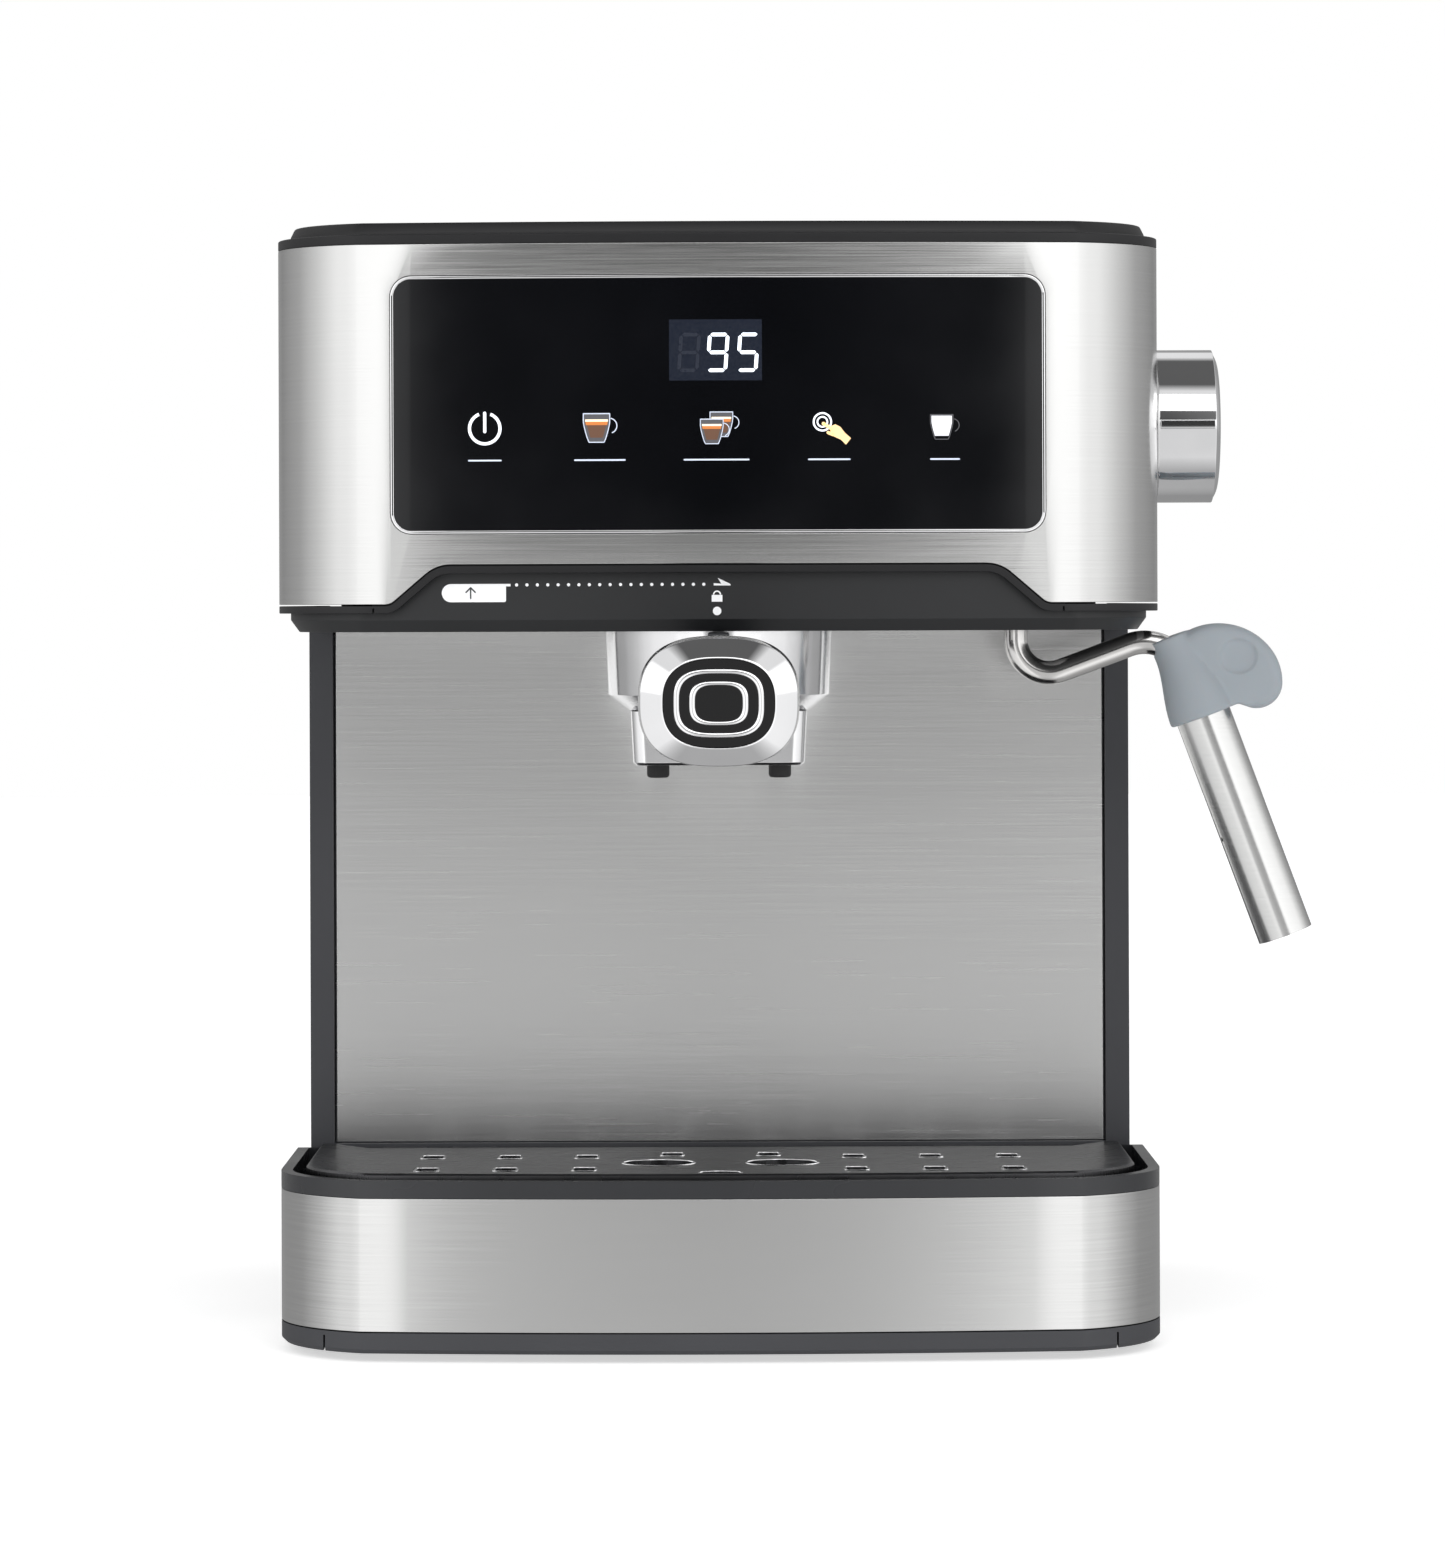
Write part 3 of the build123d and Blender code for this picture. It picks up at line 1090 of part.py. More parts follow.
with BuildPart() as spout_tips:
    for x in (-SPOUT_X, SPOUT_X):
        extrude(disc_plan(SPOUT_LOW - 3.9, 3.25, x, GROUP_Y), amount=3.8)
    chamfer(spout_tips.faces().sort_by(Axis.Z)[:2].edges(), length=0.6)
    for x in (-SPOUT_X, SPOUT_X):
        extrude(disc_plan(SPOUT_LOW - 0.1, 2.5, x, GROUP_Y), amount=4)
        extrude(disc_plan(SPOUT_LOW - 5, 1.7, x, GROUP_Y), amount=12, mode=Mode.SUBTRACT)
save(spout_tips.part, "spout_tips")

# ---------------------------------------------------------------- drip tray

TRAY_LOW = BASE_TOP + GAP
TRAY_REAR_Y = -26.0
RIM_INSET = 3.3

with BuildPart() as tray_wrap:
    extrude(plan_at(TRAY_LOW, TRAY_REAR_Y), amount=TRAY_STEEL_TOP - TRAY_LOW)
    extrude(plan_at(TRAY_LOW, 20, SHEET), amount=60, mode=Mode.SUBTRACT)
save(tray_wrap.part, "tray_wrap")

LEDGE_TOP = TRAY_STEEL_TOP
PAN_OUT = SHEET + 0.1
RIM_LOW = TRAY_STEEL_TOP + 0.1

with BuildPart() as drip_pan:
    extrude(plan_at(TRAY_LOW, TRAY_REAR_Y, PAN_OUT), amount=RIM_LOW - TRAY_LOW)
    extrude(plan_at(RIM_LOW, TRAY_REAR_Y), amount=TRAY_RIM_TOP - RIM_LOW)
    hollow = plan_at(TRAY_LOW + WALL, TRAY_REAR_Y - 2, RIM_INSET)
    extrude(hollow, amount=60, mode=Mode.SUBTRACT)
    for side in (-1, 1):
        for y in (-92.0, -42.0):
            ledge_x = sorted((side * 113.0, side * 123.0))
            box_between((ledge_x[0], y - 3, TRAY_LOW + 1), (ledge_x[1], y + 3, LEDGE_TOP))
        box_between((side * 60 - 3, -136.5, TRAY_LOW + 1), (side * 60 + 3, -128, LEDGE_TOP))
save(drip_pan.part, "drip_pan")

GRILLE_REAR_Y = TRAY_REAR_Y - 3.4
GRILLE_INSET = 7.2
FIELD_TOP = 51.2
SLOT_W = 5.8
SLOT_L = 11.5
SLOTS = [(x, y) for x in (-84, -61.5, -39, 39, 61.5, 84) for y in (-120.0, -102.0, -62.0)]
SLOTS += [(-14.1, -55.0), (14.1, -55.0)]
DRAINS = [(-17.9, -82.0, 10.0), (17.9, -82.0, 10.0), (0.0, -114.5, 5.75)]


def slot_plan(height, grow):
    """The grille's slots in plan at a height, grown by a margin."""
    with BuildSketch(Plane.XY.offset(height)) as slots:
        with Locations(*SLOTS):
            RectangleRounded(SLOT_W + 2 * grow, SLOT_L + 2 * grow, 1.8 + grow)
        for x, y, radius in DRAINS:
            with Locations((x, y)):
                Circle(radius + grow)
    return slots.sketch


with BuildPart() as drip_grille:
    grille_low = LEDGE_TOP + GAP
    extrude(plan_at(grille_low, GRILLE_REAR_Y, GRILLE_INSET), amount=GRILLE_TOP - 0.6 - grille_low)
    tapered_plan(GRILLE_TOP - 0.6, GRILLE_TOP, GRILLE_REAR_Y, GRILLE_INSET, GRILLE_INSET + 0.6)
    extrude(plan_at(FIELD_TOP, GRILLE_REAR_Y, GRILLE_INSET + 14), amount=9, mode=Mode.SUBTRACT)
    tapered_plan(
        FIELD_TOP,
        GRILLE_TOP + 0.2,
        GRILLE_REAR_Y,
        GRILLE_INSET + 14,
        GRILLE_INSET + 1.6,
        Mode.SUBTRACT,
    )
    under = plan_at(grille_low - 1, GRILLE_REAR_Y - 1.4, GRILLE_INSET + 1.4)
    extrude(under, amount=FIELD_TOP - SHEET - grille_low + 1, mode=Mode.SUBTRACT)
    extrude(slot_plan(FIELD_TOP - 3.2, 0.8), amount=2.6)
    extrude(slot_plan(FIELD_TOP - 5, 0), amount=12, mode=Mode.SUBTRACT)
save(drip_grille.part, "drip_grille")

# ---------------------------------------------------------------- electrics

with BuildPart() as power_board:
    box_between((104.0, -8, 112), (105.6, 78, 192))
    box_between((86.0, 0, 120), (104.2, 28, 146))
    box_between((90.0, 40, 122), (104.2, 58, 140))
    for y in (10.0, 34.0, 60.0):
        box_between((92.0, y - 6, 160), (104.2, y + 6, 176))
    box_between((96.0, -4, 182), (104.2, 74, 190))
save(power_board.part, "power_board")

with BuildPart() as wiring_loom:
    loom = [(100.0, 35.0, 190.2), (100.0, 35.0, 222.0), (60.0, 35.0, 284.0), (60.0, -126.7, 284.0)]
    add(tube_along(loom, [14, 40], 3.2))
save(wiring_loom.part, "wiring_loom")
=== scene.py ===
import math

import bmesh
import bpy
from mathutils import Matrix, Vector
from mathutils.bvhtree import BVHTree


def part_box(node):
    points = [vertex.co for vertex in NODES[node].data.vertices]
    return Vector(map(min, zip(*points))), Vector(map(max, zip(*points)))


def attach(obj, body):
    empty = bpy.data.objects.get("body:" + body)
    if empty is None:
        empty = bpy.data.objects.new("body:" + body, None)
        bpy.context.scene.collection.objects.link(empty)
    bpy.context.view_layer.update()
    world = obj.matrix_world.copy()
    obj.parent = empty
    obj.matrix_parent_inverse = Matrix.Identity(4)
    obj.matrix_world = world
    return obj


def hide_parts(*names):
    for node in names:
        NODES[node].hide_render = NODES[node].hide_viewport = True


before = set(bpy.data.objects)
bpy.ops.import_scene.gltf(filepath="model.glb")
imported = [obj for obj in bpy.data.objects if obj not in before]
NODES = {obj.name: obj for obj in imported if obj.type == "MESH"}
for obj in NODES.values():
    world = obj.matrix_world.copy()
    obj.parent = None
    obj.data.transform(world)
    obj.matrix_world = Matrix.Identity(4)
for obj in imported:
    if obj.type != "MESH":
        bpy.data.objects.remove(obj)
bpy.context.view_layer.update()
MM = 0.001

# ---------------------------------------------------------------- colours and node materials


def srgb(red, green, blue):
    """A colour given as 0 to 255 screen values, in the linear values that shaders use."""
    return tuple((v / 255 / 12.92) if v < 10.3 else ((v / 255 + 0.055) / 1.055) ** 2.4
                 for v in (red, green, blue))


class Paint:
    """A node material: one Principled shader and the textures that vary it."""

    def __init__(self, name, colour, **settings):
        self.material = bpy.data.materials.new(name)
        self.material.use_nodes = True
        self.tree = self.material.node_tree
        self.shader = self.tree.nodes["Principled BSDF"]
        self.shader.inputs["Base Color"].default_value = (*colour, 1)
        for socket, value in settings.items():
            self.shader.inputs[socket.replace("_", " ")].default_value = value

    def node(self, kind, inputs, **properties):
        """Add a node; an input is a value or another node's output."""
        made = self.tree.nodes.new("ShaderNode" + kind)
        for name, value in properties.items():
            setattr(made, name, value)
        for name, value in inputs.items():
            if isinstance(value, bpy.types.NodeSocket):
                self.tree.links.new(value, made.inputs[name])
            else:
                made.inputs[name].default_value = value
        return made

    def noise(self, scale, detail=3.0, turn_y=0.0):
        """Noise fixed to the object, with its repeats per metre along each axis."""
        place = self.node("TexCoord", {}).outputs["Object"]
        if turn_y:
            turned = self.node("VectorRotate", {"Vector": place, "Angle": turn_y}, rotation_type="Y_AXIS")
            place = turned.outputs["Vector"]
        stretched = self.node("Mapping", {"Vector": place, "Scale": scale})
        inputs = {"Vector": stretched.outputs["Vector"], "Scale": 1.0, "Detail": detail}
        return self.node("TexNoise", inputs).outputs["Fac"]

    def vary(self, socket, texture, low, high):
        """Let a texture run one of the shader's numbers from low to high."""
        inputs = {"Value": texture, "From Min": 0.3, "From Max": 0.7, "To Min": low, "To Max": high}
        remap = self.node("MapRange", inputs)
        self.tree.links.new(remap.outputs["Result"], self.shader.inputs[socket])

    def tint(self, texture, dark, light):
        """Let a texture run the base colour between two colours."""
        ramp = self.node("ValToRGB", {"Fac": texture})
        first, second = ramp.color_ramp.elements
        first.position, second.position = 0.3, 0.7
        first.color, second.color = (*dark, 1), (*light, 1)
        self.tree.links.new(ramp.outputs["Color"], self.shader.inputs["Base Color"])

    def bump(self, texture, depth, strength=1.0):
        """Let a texture raise the surface by up to a depth in metres."""
        made = self.node("Bump", {"Height": texture, "Distance": depth, "Strength": strength})
        self.tree.links.new(made.outputs["Normal"], self.shader.inputs["Normal"])

    def grain_along(self, axis):
        """Make the shader's stretched highlights run round an axis."""
        tangent = self.node("Tangent", {}, direction_type="RADIAL", axis=axis)
        self.tree.links.new(tangent.outputs["Tangent"], self.shader.inputs["Tangent"])


def scaled(colour, factor):
    """A colour made lighter or darker."""
    return tuple(min(1.0, channel * factor) for channel in colour)


def brushed_steel(name, colour, rough, streaks, axis="Z", turn=0.25, stretch=0.75):
    """Stainless sheet with brushing; streaks are its repeats per metre along each axis."""
    paint = Paint(name, colour, Metallic=1.0, Anisotropic=stretch, Anisotropic_Rotation=turn)
    fine = paint.noise(streaks, detail=5.0)
    paint.vary("Roughness", fine, rough - 0.035, rough + 0.045)
    paint.tint(fine, scaled(colour, 0.96), scaled(colour, 1.03))
    paint.bump(fine, 0.012 * MM, 0.4)
    paint.grain_along(axis)
    return paint.material


def plain_metal(name, colour, rough, wear=0.03, grain=180.0, depth=0.006):
    """Polished or cast metal with faint unevenness."""
    paint = Paint(name, colour, Metallic=1.0)
    cloud = paint.noise((grain, grain, grain), detail=4.0)
    paint.vary("Roughness", cloud, max(0.02, rough - wear), rough + wear)
    paint.tint(cloud, scaled(colour, 0.96), scaled(colour, 1.02))
    paint.bump(cloud, depth * MM, 0.4)
    return paint.material


def moulded_plastic(name, colour, rough, texture_depth=0.02, specks=2600.0, gloss=0.5):
    """Moulded plastic with a fine spark-eroded texture and slight colour drift."""
    paint = Paint(name, colour, Specular_IOR_Level=gloss)
    fine = paint.noise((specks, specks, specks), detail=2.0)
    drift = paint.noise((24.0, 24.0, 24.0), detail=2.0)
    paint.vary("Roughness", drift, rough - 0.03, rough + 0.04)
    paint.tint(drift, scaled(colour, 0.93), scaled(colour, 1.08))
    paint.bump(fine, texture_depth * MM, 0.5)
    return paint.material


def soft_rubber(name, colour, rough, glow=0.0):
    """Rubber or silicone with a faint matt bloom."""
    paint = Paint(name, colour, Subsurface_Weight=glow, Subsurface_Scale=0.002, Sheen_Weight=0.08)
    bloom = paint.noise((900.0, 900.0, 900.0), detail=3.0)
    drift = paint.noise((40.0, 40.0, 40.0), detail=2.0)
    paint.vary("Roughness", drift, rough - 0.05, rough + 0.05)
    paint.tint(drift, scaled(colour, 0.96), scaled(colour, 1.04))
    paint.bump(bloom, 0.01 * MM, 0.3)
    return paint.material


def clear_plastic(name, colour, rough, amount):
    """See-through moulded plastic with faint flow marks."""
    paint = Paint(name, colour, Transmission_Weight=amount, IOR=1.49)
    flow = paint.noise((14.0, 14.0, 5.0), detail=2.0)
    paint.vary("Roughness", flow, rough - 0.02, rough + 0.05)
    paint.tint(flow, scaled(colour, 0.96), scaled(colour, 1.02))
    paint.bump(flow, 0.05 * MM, 0.2)
    return paint.material


def glass_black(name):
    """The control panel's glass: black behind a clear polished face."""
    paint = Paint(name, srgb(6, 7, 10), Specular_IOR_Level=0.6)
    smudge = paint.noise((30.0, 30.0, 30.0), detail=3.0)
    paint.vary("Roughness", smudge, 0.06, 0.10)
    paint.tint(smudge, srgb(5, 6, 9), srgb(7, 8, 12))
    return paint.material


def printed_ink(name, colour, glow=0.0, rough=0.45):
    """Screen print, or the lit print of the panel where glow is above nothing; a glow on print with no light
    behind it is a painted glow.
    """
    paint = Paint(name, colour, Emission_Color=(*colour, 1), Emission_Strength=glow)
    cover = paint.noise((1500.0, 1500.0, 1500.0), detail=2.0)
    paint.vary("Roughness", cover, rough - 0.04, rough + 0.06)
    paint.tint(cover, scaled(colour, 0.95), colour)
    return paint.material


def circuit_laminate(name):
    """Green solder mask with a faint weave of glass cloth and traces."""
    paint = Paint(name, srgb(24, 84, 48), Coat_Weight=0.3)
    traces = paint.noise((700.0, 40.0, 500.0), detail=1.0)
    paint.vary("Roughness", traces, 0.25, 0.4)
    paint.tint(traces, srgb(18, 66, 40), srgb(34, 104, 60))
    paint.bump(traces, 0.03 * MM, 0.4)
    return paint.material


STEEL = (0.62, 0.62, 0.615)
AROUND = (22.0, 22.0, 2400.0)  # brushing that runs level round the walls
ACROSS = (22.0, 2400.0, 22.0)  # brushing that runs along X on level faces

MATERIALS = {
    "head_steel": brushed_steel("head_steel", STEEL, 0.18, AROUND),
    "base_steel": brushed_steel("base_steel", STEEL, 0.18, AROUND),
    # The backsplash is the same stainless as the head with a lighter colour: painted brightness standing in
    # for light the room does not give it.
    "splash_steel_painted_bright": brushed_steel("splash_steel_painted_bright", (0.84, 0.84, 0.835), 0.23, AROUND),
    "top_steel": brushed_steel("top_steel", STEEL, 0.30, ACROSS, "X", 0.0),
    # The grille is stainless steel given a near-black colour: painted shade standing in for the dark
    # surroundings it reflects.
    "grille_steel_painted_dark": brushed_steel("grille_steel_painted_dark", (0.10, 0.10, 0.105), 0.28, ACROSS, "X", 0.0, 0.4),
    "lip_steel": plain_metal("lip_steel", (0.72, 0.72, 0.73), 0.16),
    "sleeve_steel": brushed_steel("sleeve_steel", STEEL, 0.2, (160.0, 160.0, 3600.0), stretch=0.4),
    "tube_steel": plain_metal("tube_steel", (0.66, 0.65, 0.64), 0.16),
    "pressed_steel": plain_metal("pressed_steel", (0.6, 0.59, 0.58), 0.24),
    "chrome": plain_metal("chrome", (0.86, 0.86, 0.87), 0.05, 0.02, 60.0, 0.004),
    "satin_chrome": plain_metal("satin_chrome", (0.80, 0.80, 0.81), 0.13, 0.02, 60.0),
    "black_plastic": moulded_plastic("black_plastic", srgb(38, 39, 42), 0.42),
    "dark_plastic": moulded_plastic("dark_plastic", srgb(52, 53, 57), 0.48),
    "trim_plastic": moulded_plastic("trim_plastic", srgb(20, 20, 22), 0.38, gloss=0.35),
    "cover_plastic": moulded_plastic("cover_plastic", srgb(26, 27, 29), 0.40, gloss=0.45),
    "grip_plastic": moulded_plastic("grip_plastic", srgb(24, 25, 27), 0.36, gloss=0.45),
    "rim_plastic": moulded_plastic("rim_plastic", srgb(38, 39, 42), 0.26),
    "gloss_black": moulded_plastic("gloss_black", srgb(9, 9, 10), 0.10, 0.0, gloss=0.4),
    "white_plastic": moulded_plastic("white_plastic", srgb(224, 224, 220), 0.45),
    "grey_plastic": moulded_plastic("grey_plastic", srgb(150, 151, 152), 0.45),
    "panel_glass": glass_black("panel_glass"),
    "grip_silicone": soft_rubber("grip_silicone", srgb(143, 150, 156), 0.56, 0.12),
    "black_rubber": soft_rubber("black_rubber", srgb(26, 26, 27), 0.72),
    "clear_silicone": clear_plastic("clear_silicone", srgb(232, 230, 224), 0.35, 0.6),
    "red_silicone": soft_rubber("red_silicone", srgb(150, 40, 30), 0.55, 0.1),
    "tank_plastic": clear_plastic("tank_plastic", srgb(176, 184, 192), 0.10, 0.85),
    "cast_aluminium": plain_metal("cast_aluminium", (0.58, 0.58, 0.59), 0.42, 0.08, 700.0, 0.05),
    "brass": plain_metal("brass", (0.72, 0.52, 0.24), 0.25),
    "zinc_steel": plain_metal("zinc_steel", (0.62, 0.63, 0.66), 0.28, 0.05, 400.0, 0.02),
    "circuit_board": circuit_laminate("circuit_board"),
    # The lower cover's white print has nothing lighting it from behind; its faint glow is a painted glow.
    "print_white_painted_glow": printed_ink("print_white_painted_glow", srgb(240, 241, 243), 0.05),
    "lit_white": printed_ink("lit_white", srgb(236, 240, 248), 0.75),
    "lit_digit": printed_ink("lit_digit", srgb(236, 244, 255), 1.15),
    "dim_digit": printed_ink("dim_digit", srgb(27, 33, 47), 0.2, 0.3),
    "display_window": printed_ink("display_window", srgb(19, 25, 38), 0.35, 0.2),
    "display_halo": printed_ink("display_halo", srgb(30, 44, 80), 0.5, 0.2),
    "print_dark": printed_ink("print_dark", srgb(50, 51, 54), 0.0),
    "icon_line": printed_ink("icon_line", srgb(196, 204, 220), 0.5),
    "icon_shade": printed_ink("icon_shade", srgb(74, 74, 78), 0.5),
    "icon_cream": printed_ink("icon_cream", srgb(244, 226, 198), 0.6),
    "icon_crema": printed_ink("icon_crema", srgb(190, 112, 52), 0.6),
    "icon_coffee": printed_ink("icon_coffee", srgb(92, 62, 44), 0.5),
    "icon_milk": printed_ink("icon_milk", srgb(214, 214, 220), 0.6),
    "icon_skin": printed_ink("icon_skin", srgb(244, 206, 150), 0.65),
}

FINISH = {
    "head_steel": ["head_wrap"],
    "base_steel": ["tray_wrap"],
    "splash_steel_painted_bright": ["backsplash"],
    "top_steel": ["cup_warming_plate"],
    "grille_steel_painted_dark": ["drip_grille"],
    "sleeve_steel": ["froth_sleeve"],
    "tube_steel": ["steam_tube", "steam_pipes"],
    "pressed_steel": ["filter_basket", "shower_screen", "basket_spring", "tank_valve_spring"],
    "chrome": ["steam_knob", "panel_bezel", "handle_cap", "handle_rings"],
    "satin_chrome": ["portafilter_bowl", "spout_block", "knob_cap"],
    "cover_plastic": ["head_lower_cover"],
    "trim_plastic": ["head_trim", "top_cover", "tank_lid"],
    "black_plastic": ["handle_grip",
                      "thumb_guard", "head_frame", "panel_carrier", "pump", "rear_cover"],
    "dark_plastic": ["column_housing", "base_plate"],
    "rim_plastic": ["drip_pan"],
    "gloss_black": ["handle_inlay"],
    "panel_glass": ["panel_glass", "display_module"],
    "white_plastic": ["flow_meter", "tank_valve_plunger"],
    "grey_plastic": ["tank_coupling"],
    "grip_silicone": ["wand_grip"],
    "black_rubber": ["rubber_feet", "cord_inlet", "spout_tips", "pump_mounts", "wiring_loom"],
    "clear_silicone": ["suction_hoses", "pressure_hose"],
    "red_silicone": ["group_gasket"],
    "tank_plastic": ["water_tank"],
    "cast_aluminium": ["group_head", "thermoblock", "wand_socket"],
    "brass": ["steam_valve", "knob_spindle", "thermostats"],
    "zinc_steel": ["case_screws", "group_bolts", "handle_bolt", "shower_screw"],
    "circuit_board": ["control_board", "power_board"],
}


def finish_nodes():
    """Give every CAD node its material."""
    for material, names in FINISH.items():
        for name in names:
            slots = NODES[name].data.materials
            slots.clear()
            slots.append(MATERIALS[material])


# Width of the softened edges, in millimetres, of the nodes that show them
EDGES = {
    0.22: ["head_wrap", "tray_wrap", "panel_bezel", "backsplash", "cup_warming_plate"],
    0.35: ["head_lower_cover", "head_trim", "top_cover", "drip_pan", "column_housing", "base_plate",
           "rear_cover", "tank_lid", "spout_block", "steam_knob", "froth_sleeve", "thumb_guard",
           "rubber_feet", "spout_tips", "portafilter_bowl", "drip_grille"],
}


def soften_edges():
    """Round the hard edges of visible nodes with modifiers, so that they catch the light."""
    for width, names in EDGES.items():
        for name in names:
            node = NODES[name]
            node.modifiers.new("join", "WELD").merge_threshold = 0.002 * MM
            flat = node.modifiers.new("flat", "DECIMATE")
            flat.decimate_type = "DISSOLVE"
            flat.angle_limit = math.radians(0.4)
            edge = node.modifiers.new("edge", "BEVEL")
            edge.limit_method = "ANGLE"
            edge.angle_limit = math.radians(28)
            edge.width = width * MM
            edge.segments = 2
            edge.use_clamp_overlap = True
            edge.harden_normals = False
            node.modifiers.new("shade", "WEIGHTED_NORMAL").keep_sharp = False


# ---------------------------------------------------------------- pieces


def make_piece(name, mesh, material, body, replaced=(), smooth=True):
    """Finish a bmesh as a named piece that rides on a body."""
    bmesh.ops.recalc_face_normals(mesh, faces=mesh.faces)
    data = bpy.data.meshes.new(name)
    mesh.to_mesh(data)
    mesh.free()
    data.materials.append(MATERIALS[material])
    for face in data.polygons:
        face.use_smooth = smooth
    piece = bpy.data.objects.new(name, data)
    bpy.context.scene.collection.objects.link(piece)
    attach(piece, body)
    if replaced:
        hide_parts(*replaced)
    return piece


class FrontFace:
    """The outer surface of a node as seen from the front, to lay print on."""

    def __init__(self, node):
        mesh = NODES[node].data
        points = [vertex.co.copy() for vertex in mesh.vertices]
        self.tree = BVHTree.FromPolygons(points, [list(face.vertices) for face in mesh.polygons])

    def depth(self, x, z):
        """The surface's Y at a place in the front view, in metres."""
        hit = self.tree.ray_cast(Vector((x, -1.0, z)), Vector((0, 1, 0)))[0]
        if hit is None:
            raise ValueError(f"no surface at x {x:.4f}, z {z:.4f}")
        return hit.y


# Flat shapes in the front view, as lists of convex outlines with (x, z) points in millimetres


def disc(x, z, radius, turns=28):
    """A filled circle."""
    step = 2 * math.pi / turns
    return [[(x + radius * math.cos(step * i), z + radius * math.sin(step * i)) for i in range(turns)]]


def arc_band(x, z, radius, width, start=0.0, sweep=360.0, squeeze=1.0):
    """A band along an arc, from a start angle over a sweep, in degrees; squeeze narrows it across."""
    count = max(6, round(abs(sweep) / 9))
    outlines = []
    for i in range(count):
        angles = [math.radians(start + sweep * (i + j) / count) for j in (0, 1)]
        outlines.append([
            (x + squeeze * r * math.cos(a), z + r * math.sin(a))
            for r, a in ((radius - width / 2, angles[0]), (radius + width / 2, angles[0]),
                         (radius + width / 2, angles[1]), (radius - width / 2, angles[1]))
        ])
    return outlines


def stroke(points, width):
    """A line of even width through points, with round corners and ends."""
    outlines = []
    for (ax, az), (bx, bz) in zip(points, points[1:]):
        length = math.hypot(bx - ax, bz - az)
        side_x, side_z = -(bz - az) / length * width / 2, (bx - ax) / length * width / 2
        outlines.append([(ax + side_x, az + side_z), (ax - side_x, az - side_z),
                         (bx - side_x, bz - side_z), (bx + side_x, bz + side_z)])
    for x, z in points:
        outlines += disc(x, z, width / 2, 12)
    return outlines


def print_on(name, face, outlines, material, body, lift=0.01, thick=0.04):
    """Lay flat shapes on a surface as a thin raised print; all sizes in millimetres."""
    mesh = bmesh.new()
    for outline in outlines:
        mesh.faces.new([mesh.verts.new((x * MM, 0, z * MM)) for x, z in outline])
    xs = [x for outline in outlines for x, _ in outline]
    cuts = int((max(xs) - min(xs)) / 4.0)
    for i in range(1, cuts + 1):
        everything = mesh.verts[:] + mesh.edges[:] + mesh.faces[:]
        at = (min(xs) + (max(xs) - min(xs)) * i / (cuts + 1)) * MM
        bmesh.ops.bisect_plane(mesh, geom=everything, plane_co=(at, 0, 0), plane_no=(1, 0, 0))
    for vertex in mesh.verts:
        vertex.co.y = face.depth(vertex.co.x, vertex.co.z) - lift * MM
    grown = bmesh.ops.extrude_face_region(mesh, geom=mesh.faces[:])["geom"]
    for vertex in [item for item in grown if isinstance(item, bmesh.types.BMVert)]:
        vertex.co.y -= thick * MM
    return make_piece(name, mesh, material, body, smooth=False)


def flatten(groups):
    """Join lists of outlines into one."""
    return [outline for group in groups for outline in group]


# ---------------------------------------------------------------- control panel print

DISPLAY_LOW, DISPLAY_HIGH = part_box("display_module")
KEY_Z = 262.4
KEYS = {"power": -65.4, "one_cup": -33.1, "two_cups": -0.4, "manual": 31.2, "froth": 63.7}
DIGIT_W, DIGIT_H = 5.0, 10.0
DIGIT_STROKE = 1.0
# The lit bars of each figure: a is the top bar, b to f go round clockwise, g is the middle
LIT = {"9": "abcdfg", "5": "acdfg", "8": "abcdefg"}


def segment(kind, x, z):
    """One bar of a seven-segment digit centred on a place."""
    half_w, half_h = DIGIT_W / 2, DIGIT_H / 2
    reach = DIGIT_STROKE / 2
    ends = {
        "a": ((-half_w, half_h), (half_w, half_h)),
        "b": ((half_w, 0), (half_w, half_h)),
        "c": ((half_w, -half_h), (half_w, 0)),
        "d": ((-half_w, -half_h), (half_w, -half_h)),
        "e": ((-half_w, -half_h), (-half_w, 0)),
        "f": ((-half_w, 0), (-half_w, half_h)),
        "g": ((-half_w, 0), (half_w, 0)),
    }[kind]
    (ax, az), (bx, bz) = ends
    length = math.hypot(bx - ax, bz - az)
    along = ((bx - ax) / length, (bz - az) / length)
    side = (-along[1], along[0])
    gap = 0.18
    outline = []
    for distance, offset in ((gap, 0), (gap + reach, reach), (length - gap - reach, reach),
                             (length - gap, 0), (length - gap - reach, -reach), (gap + reach, -reach)):
        local_x = ax + along[0] * distance + side[0] * offset
        local_z = az + along[1] * distance + side[1] * offset
        outline.append((x + local_x + local_z * 0.07, z + local_z))
    return outline


def digit(figure, x, z):
    """A seven-segment figure."""
    return [segment(kind, x, z) for kind in LIT[figure]]


def cup_wall(half_top, half_foot, height, t):
    """Half the cup's width at a share t of its height, from foot to rim."""
    return half_foot + (half_top - half_foot) * min(1.0, t * 1.5) ** 0.75


def cup_band(x, z, size, low, high, inset, steps=6):
    """A level band of the cup's inside, between two shares of its height."""
    outlines = []
    for i in range(steps):
        t0, t1 = (low + (high - low) * (i + j) / steps for j in (0, 1))
        w0, w1 = (cup_wall(3.7 * size, 2.1 * size, 8, t) - inset * size for t in (t0, t1))
        z0, z1 = (z + (8 * t - 4) * size for t in (t0, t1))
        outlines.append([(x - w0, z0), (x + w0, z0), (x + w1, z1), (x - w1, z1)])
    return outlines


